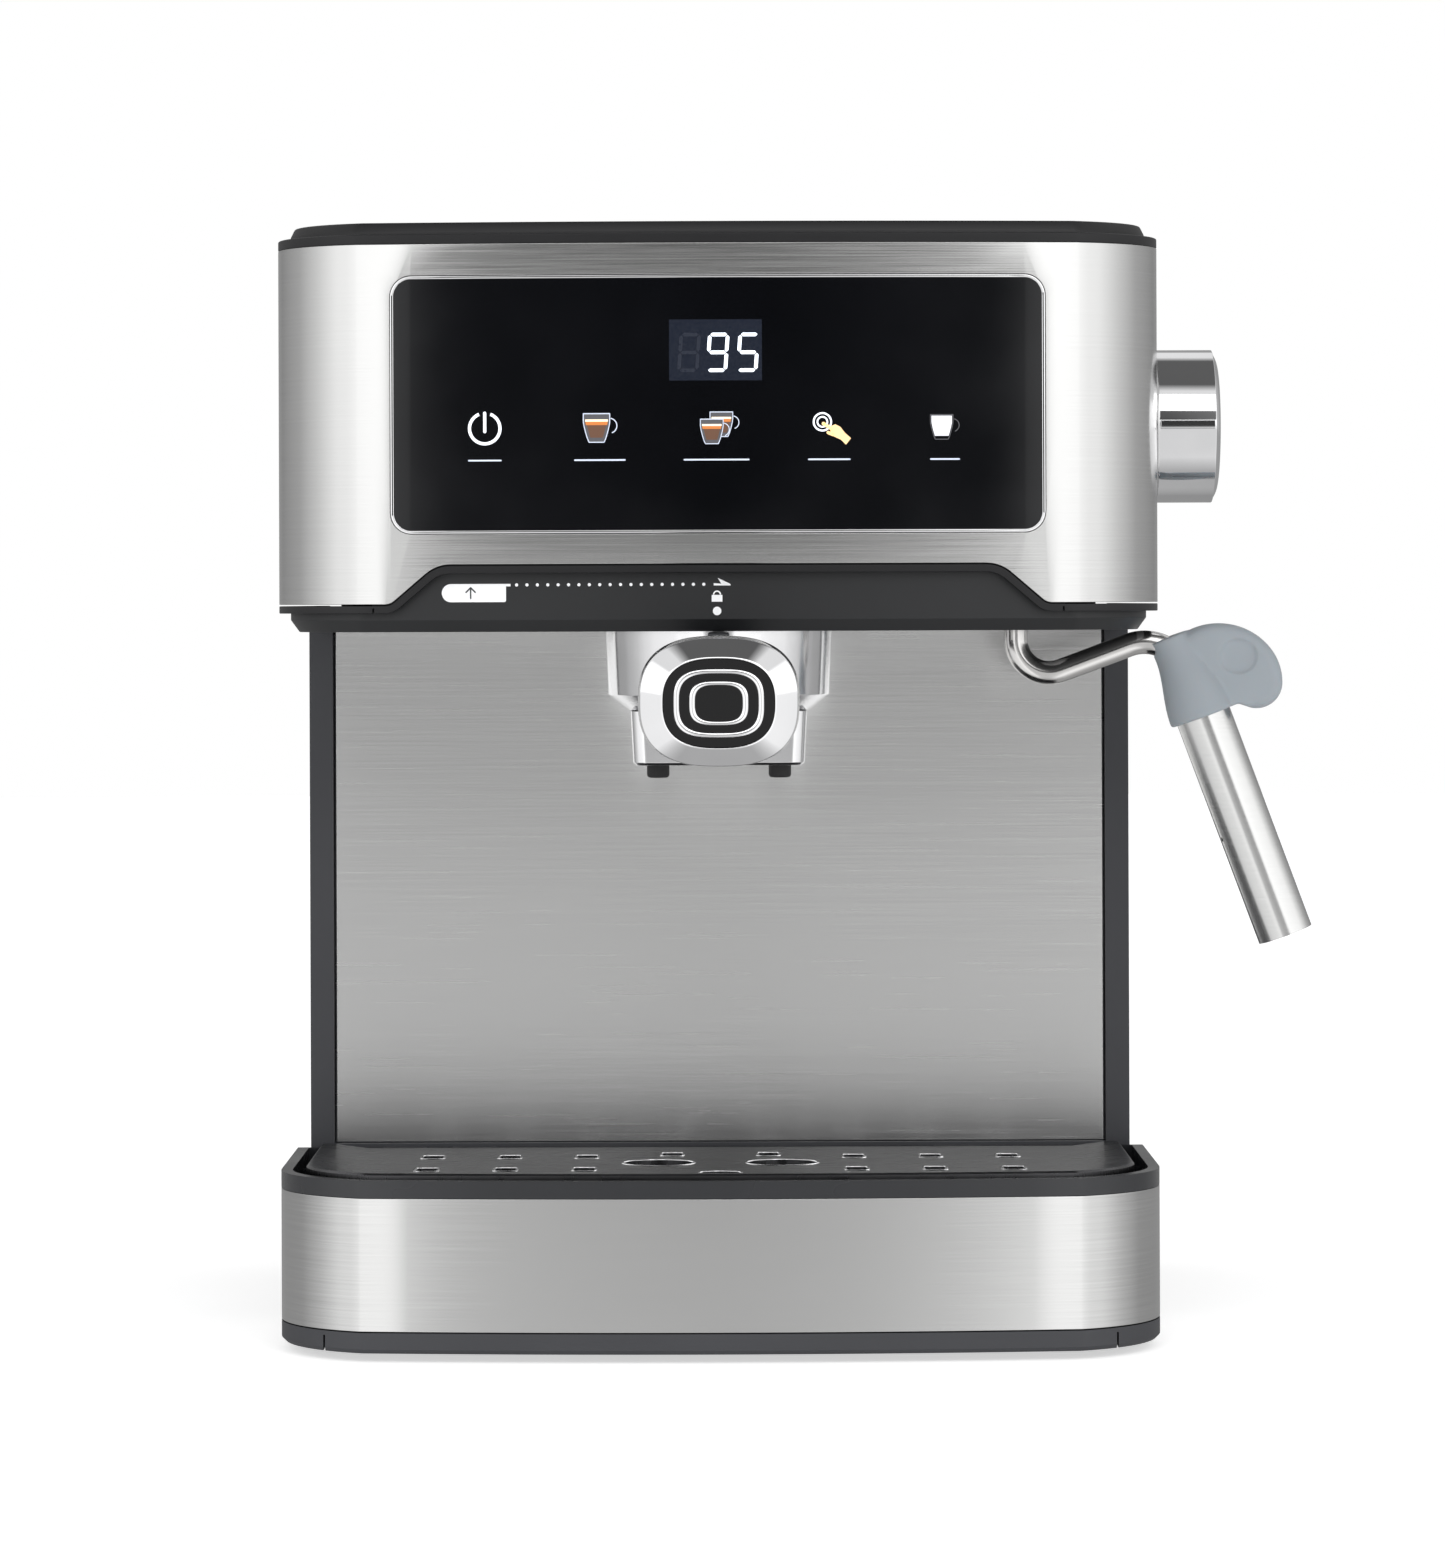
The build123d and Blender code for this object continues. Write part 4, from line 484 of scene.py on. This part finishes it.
def cup_lines(x, z, size, handle=True):
    """The glass outline of a cup with its handle."""
    steps = 7
    right = [(x + cup_wall(3.7 * size, 2.1 * size, 8, i / steps), z + (8 * i / steps - 4) * size)
             for i in range(steps + 1)]
    left = [(2 * x - px, pz) for px, pz in right]
    lines = stroke(left[::-1] + right, 0.26 * size) + stroke([left[-1], right[-1]], 0.3 * size)
    if handle:
        lines += arc_band(x + 3.6 * size, z + 0.6 * size, 2.1 * size, 0.28 * size, -70, 150)
    return lines


def print_panel():
    """The panel's lit symbols and figures."""
    face = FrontFace("panel_glass")
    display_x = (DISPLAY_LOW.x / MM, DISPLAY_HIGH.x / MM)
    display_z = (DISPLAY_LOW.z / MM, DISPLAY_HIGH.z / MM)
    middle_z = sum(display_z) / 2 - 0.7

    def lay(name, outlines, material, lift=0.01):
        print_on(name, face, outlines, material, "machine", lift)

    window = [[(display_x[0], display_z[0]), (display_x[1], display_z[0]),
               (display_x[1], display_z[1]), (display_x[0], display_z[1])]]
    lay("display_window", window, "display_window")
    lay("display_dim_figure", digit("8", display_x[0] + 5.6, middle_z), "dim_digit", 0.06)
    figures = digit("9", 0.0, middle_z) + digit("5", 8.5, middle_z)
    lay("display_figures", figures, "lit_digit", 0.06)

    x = KEYS["power"]
    power = arc_band(x, KEY_Z, 4.3, 0.85, 112, 316) + stroke([(x, KEY_Z - 0.9), (x, KEY_Z + 4.3)], 0.85)
    lay("key_power", power, "lit_white")

    cups = [("one_cup", KEYS["one_cup"] - 0.9, KEY_Z, 1.0),
            ("cup_behind", KEYS["two_cups"] + 1.4, KEY_Z + 0.9, 0.86),
            ("cup_before", KEYS["two_cups"] - 1.3, KEY_Z - 1.1, 0.86)]
    for order, (name, cup_x, cup_z, size) in enumerate(cups):
        base = 0.01 + 0.16 * (order == 2)
        lay(f"{name}_shade", cup_band(cup_x, cup_z, size, 0.02, 0.98, 0.1), "icon_shade", base)
        lay(f"{name}_coffee", cup_band(cup_x, cup_z, size, 0.16, 0.66, 0.9), "icon_coffee", base + 0.05)
        lay(f"{name}_crema", cup_band(cup_x, cup_z, size, 0.60, 0.72, 0.6), "icon_crema", base + 0.10)
        lay(f"{name}_cream", cup_band(cup_x, cup_z, size, 0.72, 0.80, 0.5), "icon_cream", base + 0.10)
        lay(f"{name}_glass", cup_lines(cup_x, cup_z, size), "icon_line", base + 0.12)

    x, z = KEYS["manual"] - 1.9, KEY_Z + 1.5
    lay("key_manual_rings", arc_band(x, z, 2.45, 0.5) + arc_band(x, z, 1.4, 0.45), "lit_white")
    hand = stroke([(x + 0.3, z - 0.5), (x + 3.0, z - 2.2)], 1.0)
    hand += stroke([(x + 1.6, z - 3.0), (x + 3.0, z - 3.6)], 0.9)
    hand += [[(x + 2.4, z - 1.2), (x + 3.6, z - 0.7), (x + 5.0, z - 1.4), (x + 6.4, z - 3.2),
              (x + 5.2, z - 5.0), (x + 3.2, z - 4.1), (x + 2.2, z - 2.6)]]
    hand += [[(x + 6.2, z - 3.0), (x + 8.0, z - 4.6), (x + 6.6, z - 6.4), (x + 5.0, z - 4.8)]]
    lay("key_manual_hand", hand, "icon_skin", 0.06)

    x, size = KEYS["froth"] - 0.9, 0.86
    lay("froth_cup_milk", cup_band(x, KEY_Z, size, 0.14, 0.96, 0.35), "icon_milk")
    lay("froth_cup_glass", cup_lines(x, KEY_Z, size, False), "icon_shade", 0.06)
    lay("froth_cup_handle", arc_band(x + 3.1, KEY_Z + 0.5, 1.8, 0.22, -70, 150), "icon_shade")

    widths = {"power": 9.0, "one_cup": 14.0, "two_cups": 18.0, "manual": 11.5, "froth": 8.0}
    for name, x in KEYS.items():
        half = widths[name] / 2
        mark = stroke([(x - half, KEY_Z - 9.0), (x + half, KEY_Z - 9.0)], 0.45)
        lay(f"key_mark_{name}", mark, "icon_line")


# ---------------------------------------------------------------- lower cover print

LOCK_X = -0.4
TRACK_Z = 218.5
DOT_COUNT = 19


def print_cover():
    """The turning guide on the lower cover: a tab, a dotted track, an arrow and the closed mark."""
    face = FrontFace("head_lower_cover")

    def lay(name, outlines, material="print_white_painted_glow", lift=0.01):
        print_on(name, face, outlines, material, "machine", lift)

    low, high = 213.7, 218.8
    radius = (high - low) / 2
    centre_x, centre_z = -77.8 + radius, (low + high) / 2
    left = [(centre_x + radius * math.cos(math.radians(a)), centre_z + radius * math.sin(math.radians(a)))
            for a in range(90, 271, 12)]
    tab = [left + [(-60.0, low), (-59.7, low + 0.3), (-59.7, high)]]
    tab += [[(-59.8, high - 0.7), (-58.4, high - 0.7), (-58.4, high), (-59.8, high)]]
    lay("guide_tab", tab)
    up = centre_z + 1.5
    arrow_x = centre_x + 5.6
    insert = stroke([(arrow_x, centre_z - 1.5), (arrow_x, up)], 0.4)
    insert += stroke([(arrow_x - 1.3, up - 1.3), (arrow_x, up), (arrow_x + 1.3, up - 1.3)], 0.4)
    lay("guide_tab_arrow", insert, "print_dark", 0.05)
    dots = flatten(disc(-56.7 + i * 2.922, TRACK_Z, 0.45, 16) for i in range(DOT_COUNT))
    lay("guide_dots", dots)
    tip = [[(-1.3, TRACK_Z - 0.35), (3.4, TRACK_Z - 0.35), (3.4, TRACK_Z), (-1.3, TRACK_Z + 0.3)],
           [(0.9, TRACK_Z), (3.4, TRACK_Z - 0.35), (3.2, TRACK_Z + 0.15), (-0.2, TRACK_Z + 1.8)]]
    lay("guide_arrow", tip)
    lock = [[(LOCK_X - 1.5, 213.6), (LOCK_X + 1.5, 213.6), (LOCK_X + 1.5, 215.5), (LOCK_X - 1.5, 215.5)]]
    lock += arc_band(LOCK_X, 215.6, 0.95, 0.38, 0, 180)
    lay("guide_padlock", lock)
    lay("guide_closed_dot", disc(LOCK_X, 211.0, 1.2))


# ---------------------------------------------------------------- handle

OVAL_TURNS = 120
GROUP_Y = -82.0
HANDLE_ROOT_Z = 194.3
HANDLE_TILT = math.radians(3.12)
HANDLE_START, CAP_START, CAP_END = 36.0, 131.4, 143.2
CAP_W, CAP_H = 43.4, 35.2
INLAY_W, INLAY_H = 30.5, 24.4
CAP_POWER = 2.6  # how square the cap's oval is, where 2 is an ellipse
RING_POWER = 3.2
# Each ring of the inlay: outer width and height, inner width and height
RINGS = [(24.3, 18.4, 21.1, 15.8), (15.9, 11.9, 12.6, 9.6)]
RING_CROWN = 0.25
CAP_ROUNDING = 0.45
INLAY_ROUNDING = 0.12


def oval_points(distance, width, height, power):
    """A superellipse square to the handle's axis, at a distance forward of the group's axis."""
    forward = Vector((0, -math.cos(HANDLE_TILT), -math.sin(HANDLE_TILT)))
    upward = Vector((0, -math.sin(HANDLE_TILT), math.cos(HANDLE_TILT)))
    centre = Vector((0, GROUP_Y, HANDLE_ROOT_Z)) + forward * distance
    points = []
    for step in range(OVAL_TURNS):
        angle = 2 * math.pi * step / OVAL_TURNS
        cos, sin = math.cos(angle), math.sin(angle)
        reach = (abs(cos / (width / 2)) ** power + abs(sin / (height / 2)) ** power) ** (-1 / power)
        points.append((centre + Vector((reach * cos, 0, 0)) + upward * (reach * sin)) * MM)
    return points


def add_loft(mesh, sections, closed=False):
    """Add a skin through ovals given as (distance, width, height, power), ends capped or joined up."""
    loops = [[mesh.verts.new(point) for point in oval_points(*section)] for section in sections]
    pairs = list(zip(loops, loops[1:])) + ([(loops[-1], loops[0])] if closed else [])
    for first, second in pairs:
        for i in range(OVAL_TURNS):
            j = (i + 1) % OVAL_TURNS
            mesh.faces.new((first[i], first[j], second[j], second[i]))
    if not closed:
        for loop in (loops[0], loops[-1]):
            mesh.faces.new(loop)


def eased(sections, steps=12):
    """Sections interpolated smoothly along the handle, through the given ones."""
    result = []
    for i in range(len(sections) - 1):
        before, start = sections[max(i - 1, 0)], sections[i]
        end, after = sections[i + 1], sections[min(i + 2, len(sections) - 1)]
        for step in range(steps):
            t = step / steps
            section = [start[0] + (end[0] - start[0]) * t]
            for k in (1, 2, 3):
                rise_in = (end[k] - before[k]) / (end[0] - before[0]) * (end[0] - start[0])
                rise_out = (after[k] - start[k]) / (after[0] - start[0]) * (end[0] - start[0])
                section.append((2 * t ** 3 - 3 * t ** 2 + 1) * start[k] + (t ** 3 - 2 * t ** 2 + t) * rise_in
                               + (3 * t ** 2 - 2 * t ** 3) * end[k] + (t ** 3 - t ** 2) * rise_out)
            result.append(tuple(section))
    return result + [sections[-1]]


def rounded_step(first, second, third, radius):
    """Three sections that round off the corner at the second one."""
    cuts = []
    for other in (first, third):
        length = math.hypot(other[0] - second[0], (other[1] - second[1]) / 2)
        share = min(0.45, radius / length)
        cuts.append([b + (a - b) * share for a, b in zip(other, second)])
    middle = [(a + 2 * b + c) / 4 for a, b, c in zip(cuts[0], second, cuts[1])]
    return [tuple(cuts[0]), tuple(middle), tuple(cuts[1])]


def rounded_profile(corners, radius):
    """A profile with every corner but its ends rounded off."""
    result = [corners[0]]
    for first, second, third in zip(corners, corners[1:], corners[2:]):
        result += rounded_step(first, second, third, radius)
    return result + [corners[-1]]


def even_shading(piece):
    """Keep flat faces flat next to their rounded edges."""
    piece.modifiers.new("shade", "WEIGHTED_NORMAL").keep_sharp = False


def build_handle():
    """The handle's grip, chromed cap, black inlay and bright rings."""
    grip = bmesh.new()
    body = eased([(HANDLE_START + 0.8, 21.0, 20.0, 2.0), (58.0, 23.0, 21.5, 2.1), (92.0, 32.0, 27.5, 2.3),
                  (CAP_START - 0.5, 41.5, 33.3, CAP_POWER)])
    first, last = (HANDLE_START + 0.1, 19.8, 18.8, 2.0), (CAP_START - 0.1, 40.7, 32.5, CAP_POWER)
    add_loft(grip, [first] + body + [last])
    even_shading(make_piece("grip_body", grip, "grip_plastic", "portafilter",
                            ["handle_grip"]))

    cap = bmesh.new()
    shoulder = CAP_START + 7.6
    back = CAP_START + 0.05
    recess = CAP_END - 1.38
    outer = [(back, -6.0), (back, -1.2), (CAP_START + 3.0, 0.0), (shoulder, -0.8)]
    inner = [(CAP_END, 0.1), (CAP_END, -0.5), (recess, -0.7), (recess, -4.0)]
    profile = [(at, CAP_W + more, CAP_H + more, CAP_POWER) for at, more in outer]
    profile += [(at, INLAY_W + more, INLAY_H + more, CAP_POWER) for at, more in inner]
    add_loft(cap, rounded_profile(profile, CAP_ROUNDING))
    even_shading(make_piece("cap_shell", cap, "chrome", "portafilter", ["handle_cap"]))

    inlay = bmesh.new()
    face = CAP_END - 0.35
    edge = (INLAY_W - 0.8, INLAY_H - 0.8, CAP_POWER)
    profile = [(CAP_END - 1.3, *edge), (face, *edge)]
    for outer_w, outer_h, inner_w, inner_h in RINGS:
        groove = face - 0.5
        profile += [(face, outer_w, outer_h, RING_POWER),
                    (groove, outer_w - 0.1, outer_h - 0.1, RING_POWER),
                    (groove, inner_w + 0.1, inner_h + 0.1, RING_POWER),
                    (face, inner_w, inner_h, RING_POWER)]
    profile.append((face, 1.0, 0.8, RING_POWER))
    add_loft(inlay, rounded_profile(profile, INLAY_ROUNDING))
    even_shading(make_piece("inlay_face", inlay, "gloss_black", "portafilter",
                            ["handle_inlay"]))

    rims = bmesh.new()
    for outer_w, outer_h, inner_w, inner_h in RINGS:
        low, high = face - 0.45, CAP_END - 0.1
        wide, thin = (outer_w - 0.1, outer_h - 0.1), (inner_w + 0.1, inner_h + 0.1)
        slim_w, slim_h = (wide[0] - thin[0]) / 2, (wide[1] - thin[1]) / 2
        sections = [(low, *wide, RING_POWER), (high - RING_CROWN, *wide, RING_POWER)]
        for share in (0.12, 0.3, 0.5, 0.7, 0.88):
            width, height = wide[0] - 2 * slim_w * share, wide[1] - 2 * slim_h * share
            sections.append((high - RING_CROWN * (2 * share - 1) ** 2, width, height, RING_POWER))
        sections += [(high - RING_CROWN, *thin, RING_POWER), (low, *thin, RING_POWER)]
        add_loft(rims, sections, closed=True)
    even_shading(make_piece("inlay_rims", rims, "chrome", "portafilter", ["handle_rings"]))


# ---------------------------------------------------------------- grille lips

FIELD_TOP = 51.2
SLOT_SIZE = (5.8, 11.5, 1.8)
SLOT_PLACES = [(x, y) for x in (-84, -61.5, -39, 39, 61.5, 84) for y in (-120.0, -102.0, -62.0)]
SLOT_PLACES += [(-14.1, -55.0), (14.1, -55.0)]
DRAINS = [(-17.9, -82.0, 10.0), (17.9, -82.0, 10.0), (0.0, -114.5, 5.75)]
LIP_SHAPE = [(0.02, -0.7), (0.02, 0.06), (0.14, 0.22), (0.34, 0.26), (0.58, 0.18), (0.8, 0.02)]


def slot_outline(x, y, grow):
    """The outline of a slot, grown by a margin."""
    width, length, radius = (size + 2 * grow for size in SLOT_SIZE)
    radius -= grow
    points = []
    for corner, (side_x, side_y) in enumerate(((1, 1), (-1, 1), (-1, -1), (1, -1))):
        for step in range(7):
            angle = math.radians(90 * corner + 15 * step)
            points.append((x + side_x * (width / 2 - radius) + radius * math.cos(angle),
                           y + side_y * (length / 2 - radius) + radius * math.sin(angle)))
    return points


def drain_outline(x, y, radius, grow):
    """The outline of a drain hole, grown by a margin."""
    reach = radius + grow
    angles = [turn * math.pi / 30 for turn in range(60)]
    return [(x + reach * math.cos(a), y + reach * math.sin(a)) for a in angles]


def build_lips():
    """The rolled lips that the punching leaves round the grille's slots and drains."""
    mesh = bmesh.new()
    shapes = [[slot_outline(x, y, grow) for grow, _ in LIP_SHAPE] for x, y in SLOT_PLACES]
    shapes += [[drain_outline(*drain, grow) for grow, _ in LIP_SHAPE] for drain in DRAINS]
    for outlines in shapes:
        loops = [[mesh.verts.new((x * MM, y * MM, (FIELD_TOP + rise) * MM)) for x, y in outline]
                 for outline, (_, rise) in zip(outlines, LIP_SHAPE)]
        for first, second in zip(loops, loops[1:]):
            for i in range(len(first)):
                j = (i + 1) % len(first)
                mesh.faces.new((first[i], first[j], second[j], second[i]))
    make_piece("grille_lips", mesh, "lip_steel", "grille")


# ---------------------------------------------------------------- wand grip

SMOOTHING = 12


def smooth_grip():
    """The silicone grip: the CAD form with its joins melted into one soft skin."""
    source = NODES["wand_grip"]
    piece = bpy.data.objects.new("grip_skin", source.data.copy())
    bpy.context.scene.collection.objects.link(piece)
    melt = piece.modifiers.new("melt", "REMESH")
    melt.mode = "VOXEL"
    melt.voxel_size = 0.5 * MM
    melt.use_smooth_shade = True
    soft = piece.modifiers.new("soft", "SMOOTH")
    soft.iterations = SMOOTHING
    soft.factor = 0.5
    graph = bpy.context.evaluated_depsgraph_get()
    baked = bpy.data.meshes.new_from_object(piece.evaluated_get(graph))
    piece.modifiers.clear()
    piece.data = baked
    piece.data.name = "grip_skin"
    piece.data.materials.clear()
    piece.data.materials.append(MATERIALS["grip_silicone"])
    for face in piece.data.polygons:
        face.use_smooth = True
    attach(piece, "steam_wand")
    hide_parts("wand_grip")


# ---------------------------------------------------------------- studio


def link_math(tree, operation, first, second=0.0):
    """A maths node in a node tree; each operand is a number or another node's output."""
    made = tree.nodes.new("ShaderNodeMath")
    made.operation = operation
    for socket, value in zip(made.inputs, (first, second)):
        if isinstance(value, bpy.types.NodeSocket):
            tree.links.new(value, socket)
        else:
            socket.default_value = value
    return made.outputs[0]


# The room's brightness by the angle round from straight ahead of the front, in degrees, with the
# machine's right side positive: at eye level, above it, and on the floor below it
SIDE_FADE = [(17, 1.85), (32, 1.65), (71, 1.45), (91, 1.0), (114, 0.58), (149, 0.32), (180, 0.35)]
WALL_RING = [(-angle, level) for angle, level in SIDE_FADE[::-1]]
WALL_RING += [(-15.5, 1.7), (-13.5, 0.08), (0, 0.03), (13.5, 0.08), (15.5, 1.7)] + SIDE_FADE
HIGH_RING = [(-angle, level) for angle, level in SIDE_FADE[::-1]]
HIGH_RING += [(-15, 1.6), (-12.5, 0.12), (0, 0.04), (4, 0.08), (8, 0.45), (12, 1.1)] + SIDE_FADE
FLOOR_RING = [(-180, 0.3), (-114, 0.4), (-91, 0.65), (-71, 1.0), (-32, 1.15), (-17, 1.4), (-15.5, 1.2),
              (-13.5, 0.8), (0, 0.72), (6, 0.76), (11, 0.9), (14, 1.1), (18, 1.4), (32, 1.2), (71, 1.0),
              (91, 0.65), (114, 0.4), (180, 0.3)]
RING_PEAK = 2.5
# The brightness of the soft boxes above head height, of the ceiling, and straight down
SOFT_BOXES = 0.85
CEILING = 0.12
UNDERFOOT = 0.45


def ring_light(tree, turn, levels):
    """A brightness that follows the angle round the room."""
    ring = tree.nodes.new("ShaderNodeValToRGB")
    tree.links.new(turn, ring.inputs["Fac"])
    stops = ring.color_ramp.elements
    while len(stops) < len(levels):
        stops.new(0.5)
    for stop, (degrees, level) in zip(stops, levels):
        stop.position = (degrees + 180) / 360
        stop.color = (*[level / RING_PEAK] * 3, 1)
    return link_math(tree, "MULTIPLY", ring.outputs["Color"], RING_PEAK)


def blend(tree, value, low, high, first, second):
    """Run from one brightness to another as a value goes from low to high."""
    share = tree.nodes.new("ShaderNodeMapRange")
    tree.links.new(value, share.inputs["Value"])
    share.inputs["From Min"].default_value = low
    share.inputs["From Max"].default_value = high
    part = share.outputs["Result"]
    kept = link_math(tree, "MULTIPLY", link_math(tree, "SUBTRACT", 1.0, part), first)
    return link_math(tree, "ADD", kept, link_math(tree, "MULTIPLY", part, second))


def studio_world():
    """A plain white room whose walls are lit unevenly, as soft boxes would light it."""
    world = bpy.data.worlds.new("studio")
    bpy.context.scene.world = world
    world.use_nodes = True
    tree = world.node_tree
    tree.nodes.clear()
    direction = tree.nodes.new("ShaderNodeTexCoord").outputs["Generated"]
    split = tree.nodes.new("ShaderNodeSeparateXYZ")
    tree.links.new(direction, split.inputs[0])
    x, y, z = split.outputs
    angle = link_math(tree, "ARCTAN2", x, link_math(tree, "MULTIPLY", y, -1.0))
    turn = link_math(tree, "ADD", link_math(tree, "DIVIDE", angle, 2 * math.pi), 0.5)
    walls = ring_light(tree, turn, WALL_RING)
    raised = ring_light(tree, turn, HIGH_RING)
    ground = ring_light(tree, turn, FLOOR_RING)
    ground = blend(tree, z, -0.95, -0.75, UNDERFOOT, ground)
    level = blend(tree, z, -0.02, 0.005, ground, walls)
    level = blend(tree, z, 0.08, 0.14, level, raised)
    level = blend(tree, z, 0.48, 0.56, level, SOFT_BOXES)
    level = blend(tree, z, 0.80, 0.90, level, CEILING)
    light = tree.nodes.new("ShaderNodeBackground")
    light.inputs["Color"].default_value = (1, 1, 1, 1)
    tree.links.new(level, light.inputs["Strength"])
    plain = tree.nodes.new("ShaderNodeBackground")
    plain.inputs["Color"].default_value = (1, 1, 1, 1)
    mixed = tree.nodes.new("ShaderNodeMixShader")
    tree.links.new(tree.nodes.new("ShaderNodeLightPath").outputs["Is Camera Ray"], mixed.inputs["Fac"])
    tree.links.new(light.outputs[0], mixed.inputs[1])
    tree.links.new(plain.outputs[0], mixed.inputs[2])
    tree.links.new(mixed.outputs[0], tree.nodes.new("ShaderNodeOutputWorld").inputs[0])


FLOOR_R = 5.0


def floor():
    """A plain pale floor."""
    mesh = bmesh.new()
    rings = [mesh.verts.new((0, 0, 0))]
    loops = []
    for radius in (0.3, 0.8, 2.0, FLOOR_R):
        angles = [turn * math.pi / 32 for turn in range(64)]
        loops.append([mesh.verts.new((radius * math.cos(a), radius * math.sin(a), 0)) for a in angles])
    for i in range(64):
        mesh.faces.new((rings[0], loops[0][i], loops[0][(i + 1) % 64]))
        for inner, outer in zip(loops, loops[1:]):
            mesh.faces.new((inner[i], outer[i], outer[(i + 1) % 64], inner[(i + 1) % 64]))
    data = bpy.data.meshes.new("floor")
    mesh.to_mesh(data)
    mesh.free()
    paint = Paint("floor_paint", (0.86, 0.86, 0.86), Specular_IOR_Level=0.2, Emission_Strength=0.55)
    cloud = paint.noise((3.0, 3.0, 3.0))
    paint.vary("Roughness", cloud, 0.75, 0.85)
    paint.tint(cloud, (0.85, 0.85, 0.85), (0.87, 0.87, 0.87))
    data.materials.append(paint.material)
    ground = bpy.data.objects.new("floor", data)
    bpy.context.scene.collection.objects.link(ground)
    ground.visible_glossy = False


def soft_box(name, place, aim, size, power):
    """A soft rectangular lamp that points at a place."""
    lamp = bpy.data.lights.new(name, "AREA")
    lamp.shape = "RECTANGLE"
    lamp.size, lamp.size_y = size
    lamp.energy = power
    holder = bpy.data.objects.new(name, lamp)
    holder.location = place
    holder.rotation_mode = "QUATERNION"
    holder.rotation_quaternion = (Vector(aim) - Vector(place)).to_track_quat("-Z", "Y")
    bpy.context.scene.collection.objects.link(holder)


KEY_PLACE = (0.2, -1.5, 1.25)
KEY_AIM = (0, 0, 0.15)
KEY_SIZE = (1.6, 0.8)
KEY_POWER = 6.0
EYE_DISTANCE = 1.75  # from the front of the body to the lens
EYE_HEIGHT = 0.214
FRONT_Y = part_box("head_wrap")[0].y


def camera():
    """A level camera straight ahead of the front."""
    data = bpy.data.cameras.new("camera")
    data.sensor_width = 36.0
    data.lens = 145.0
    data.shift_x = 0.0026
    data.shift_y = -0.113
    data.clip_start, data.clip_end = 0.05, 50.0
    eye = bpy.data.objects.new("camera", data)
    eye.location = (0, FRONT_Y - EYE_DISTANCE, EYE_HEIGHT)
    eye.rotation_euler = (math.radians(90), math.radians(0.2), 0)
    bpy.context.scene.collection.objects.link(eye)
    bpy.context.scene.camera = eye


camera()
studio_world()
soft_box("key", KEY_PLACE, KEY_AIM, KEY_SIZE, KEY_POWER)
floor()
scene_view = bpy.context.scene.view_settings
scene_view.view_transform = "Standard"
scene_view.look = "None"
finish_nodes()
soften_edges()
print_panel()
print_cover()
build_handle()
build_lips()
smooth_grip()
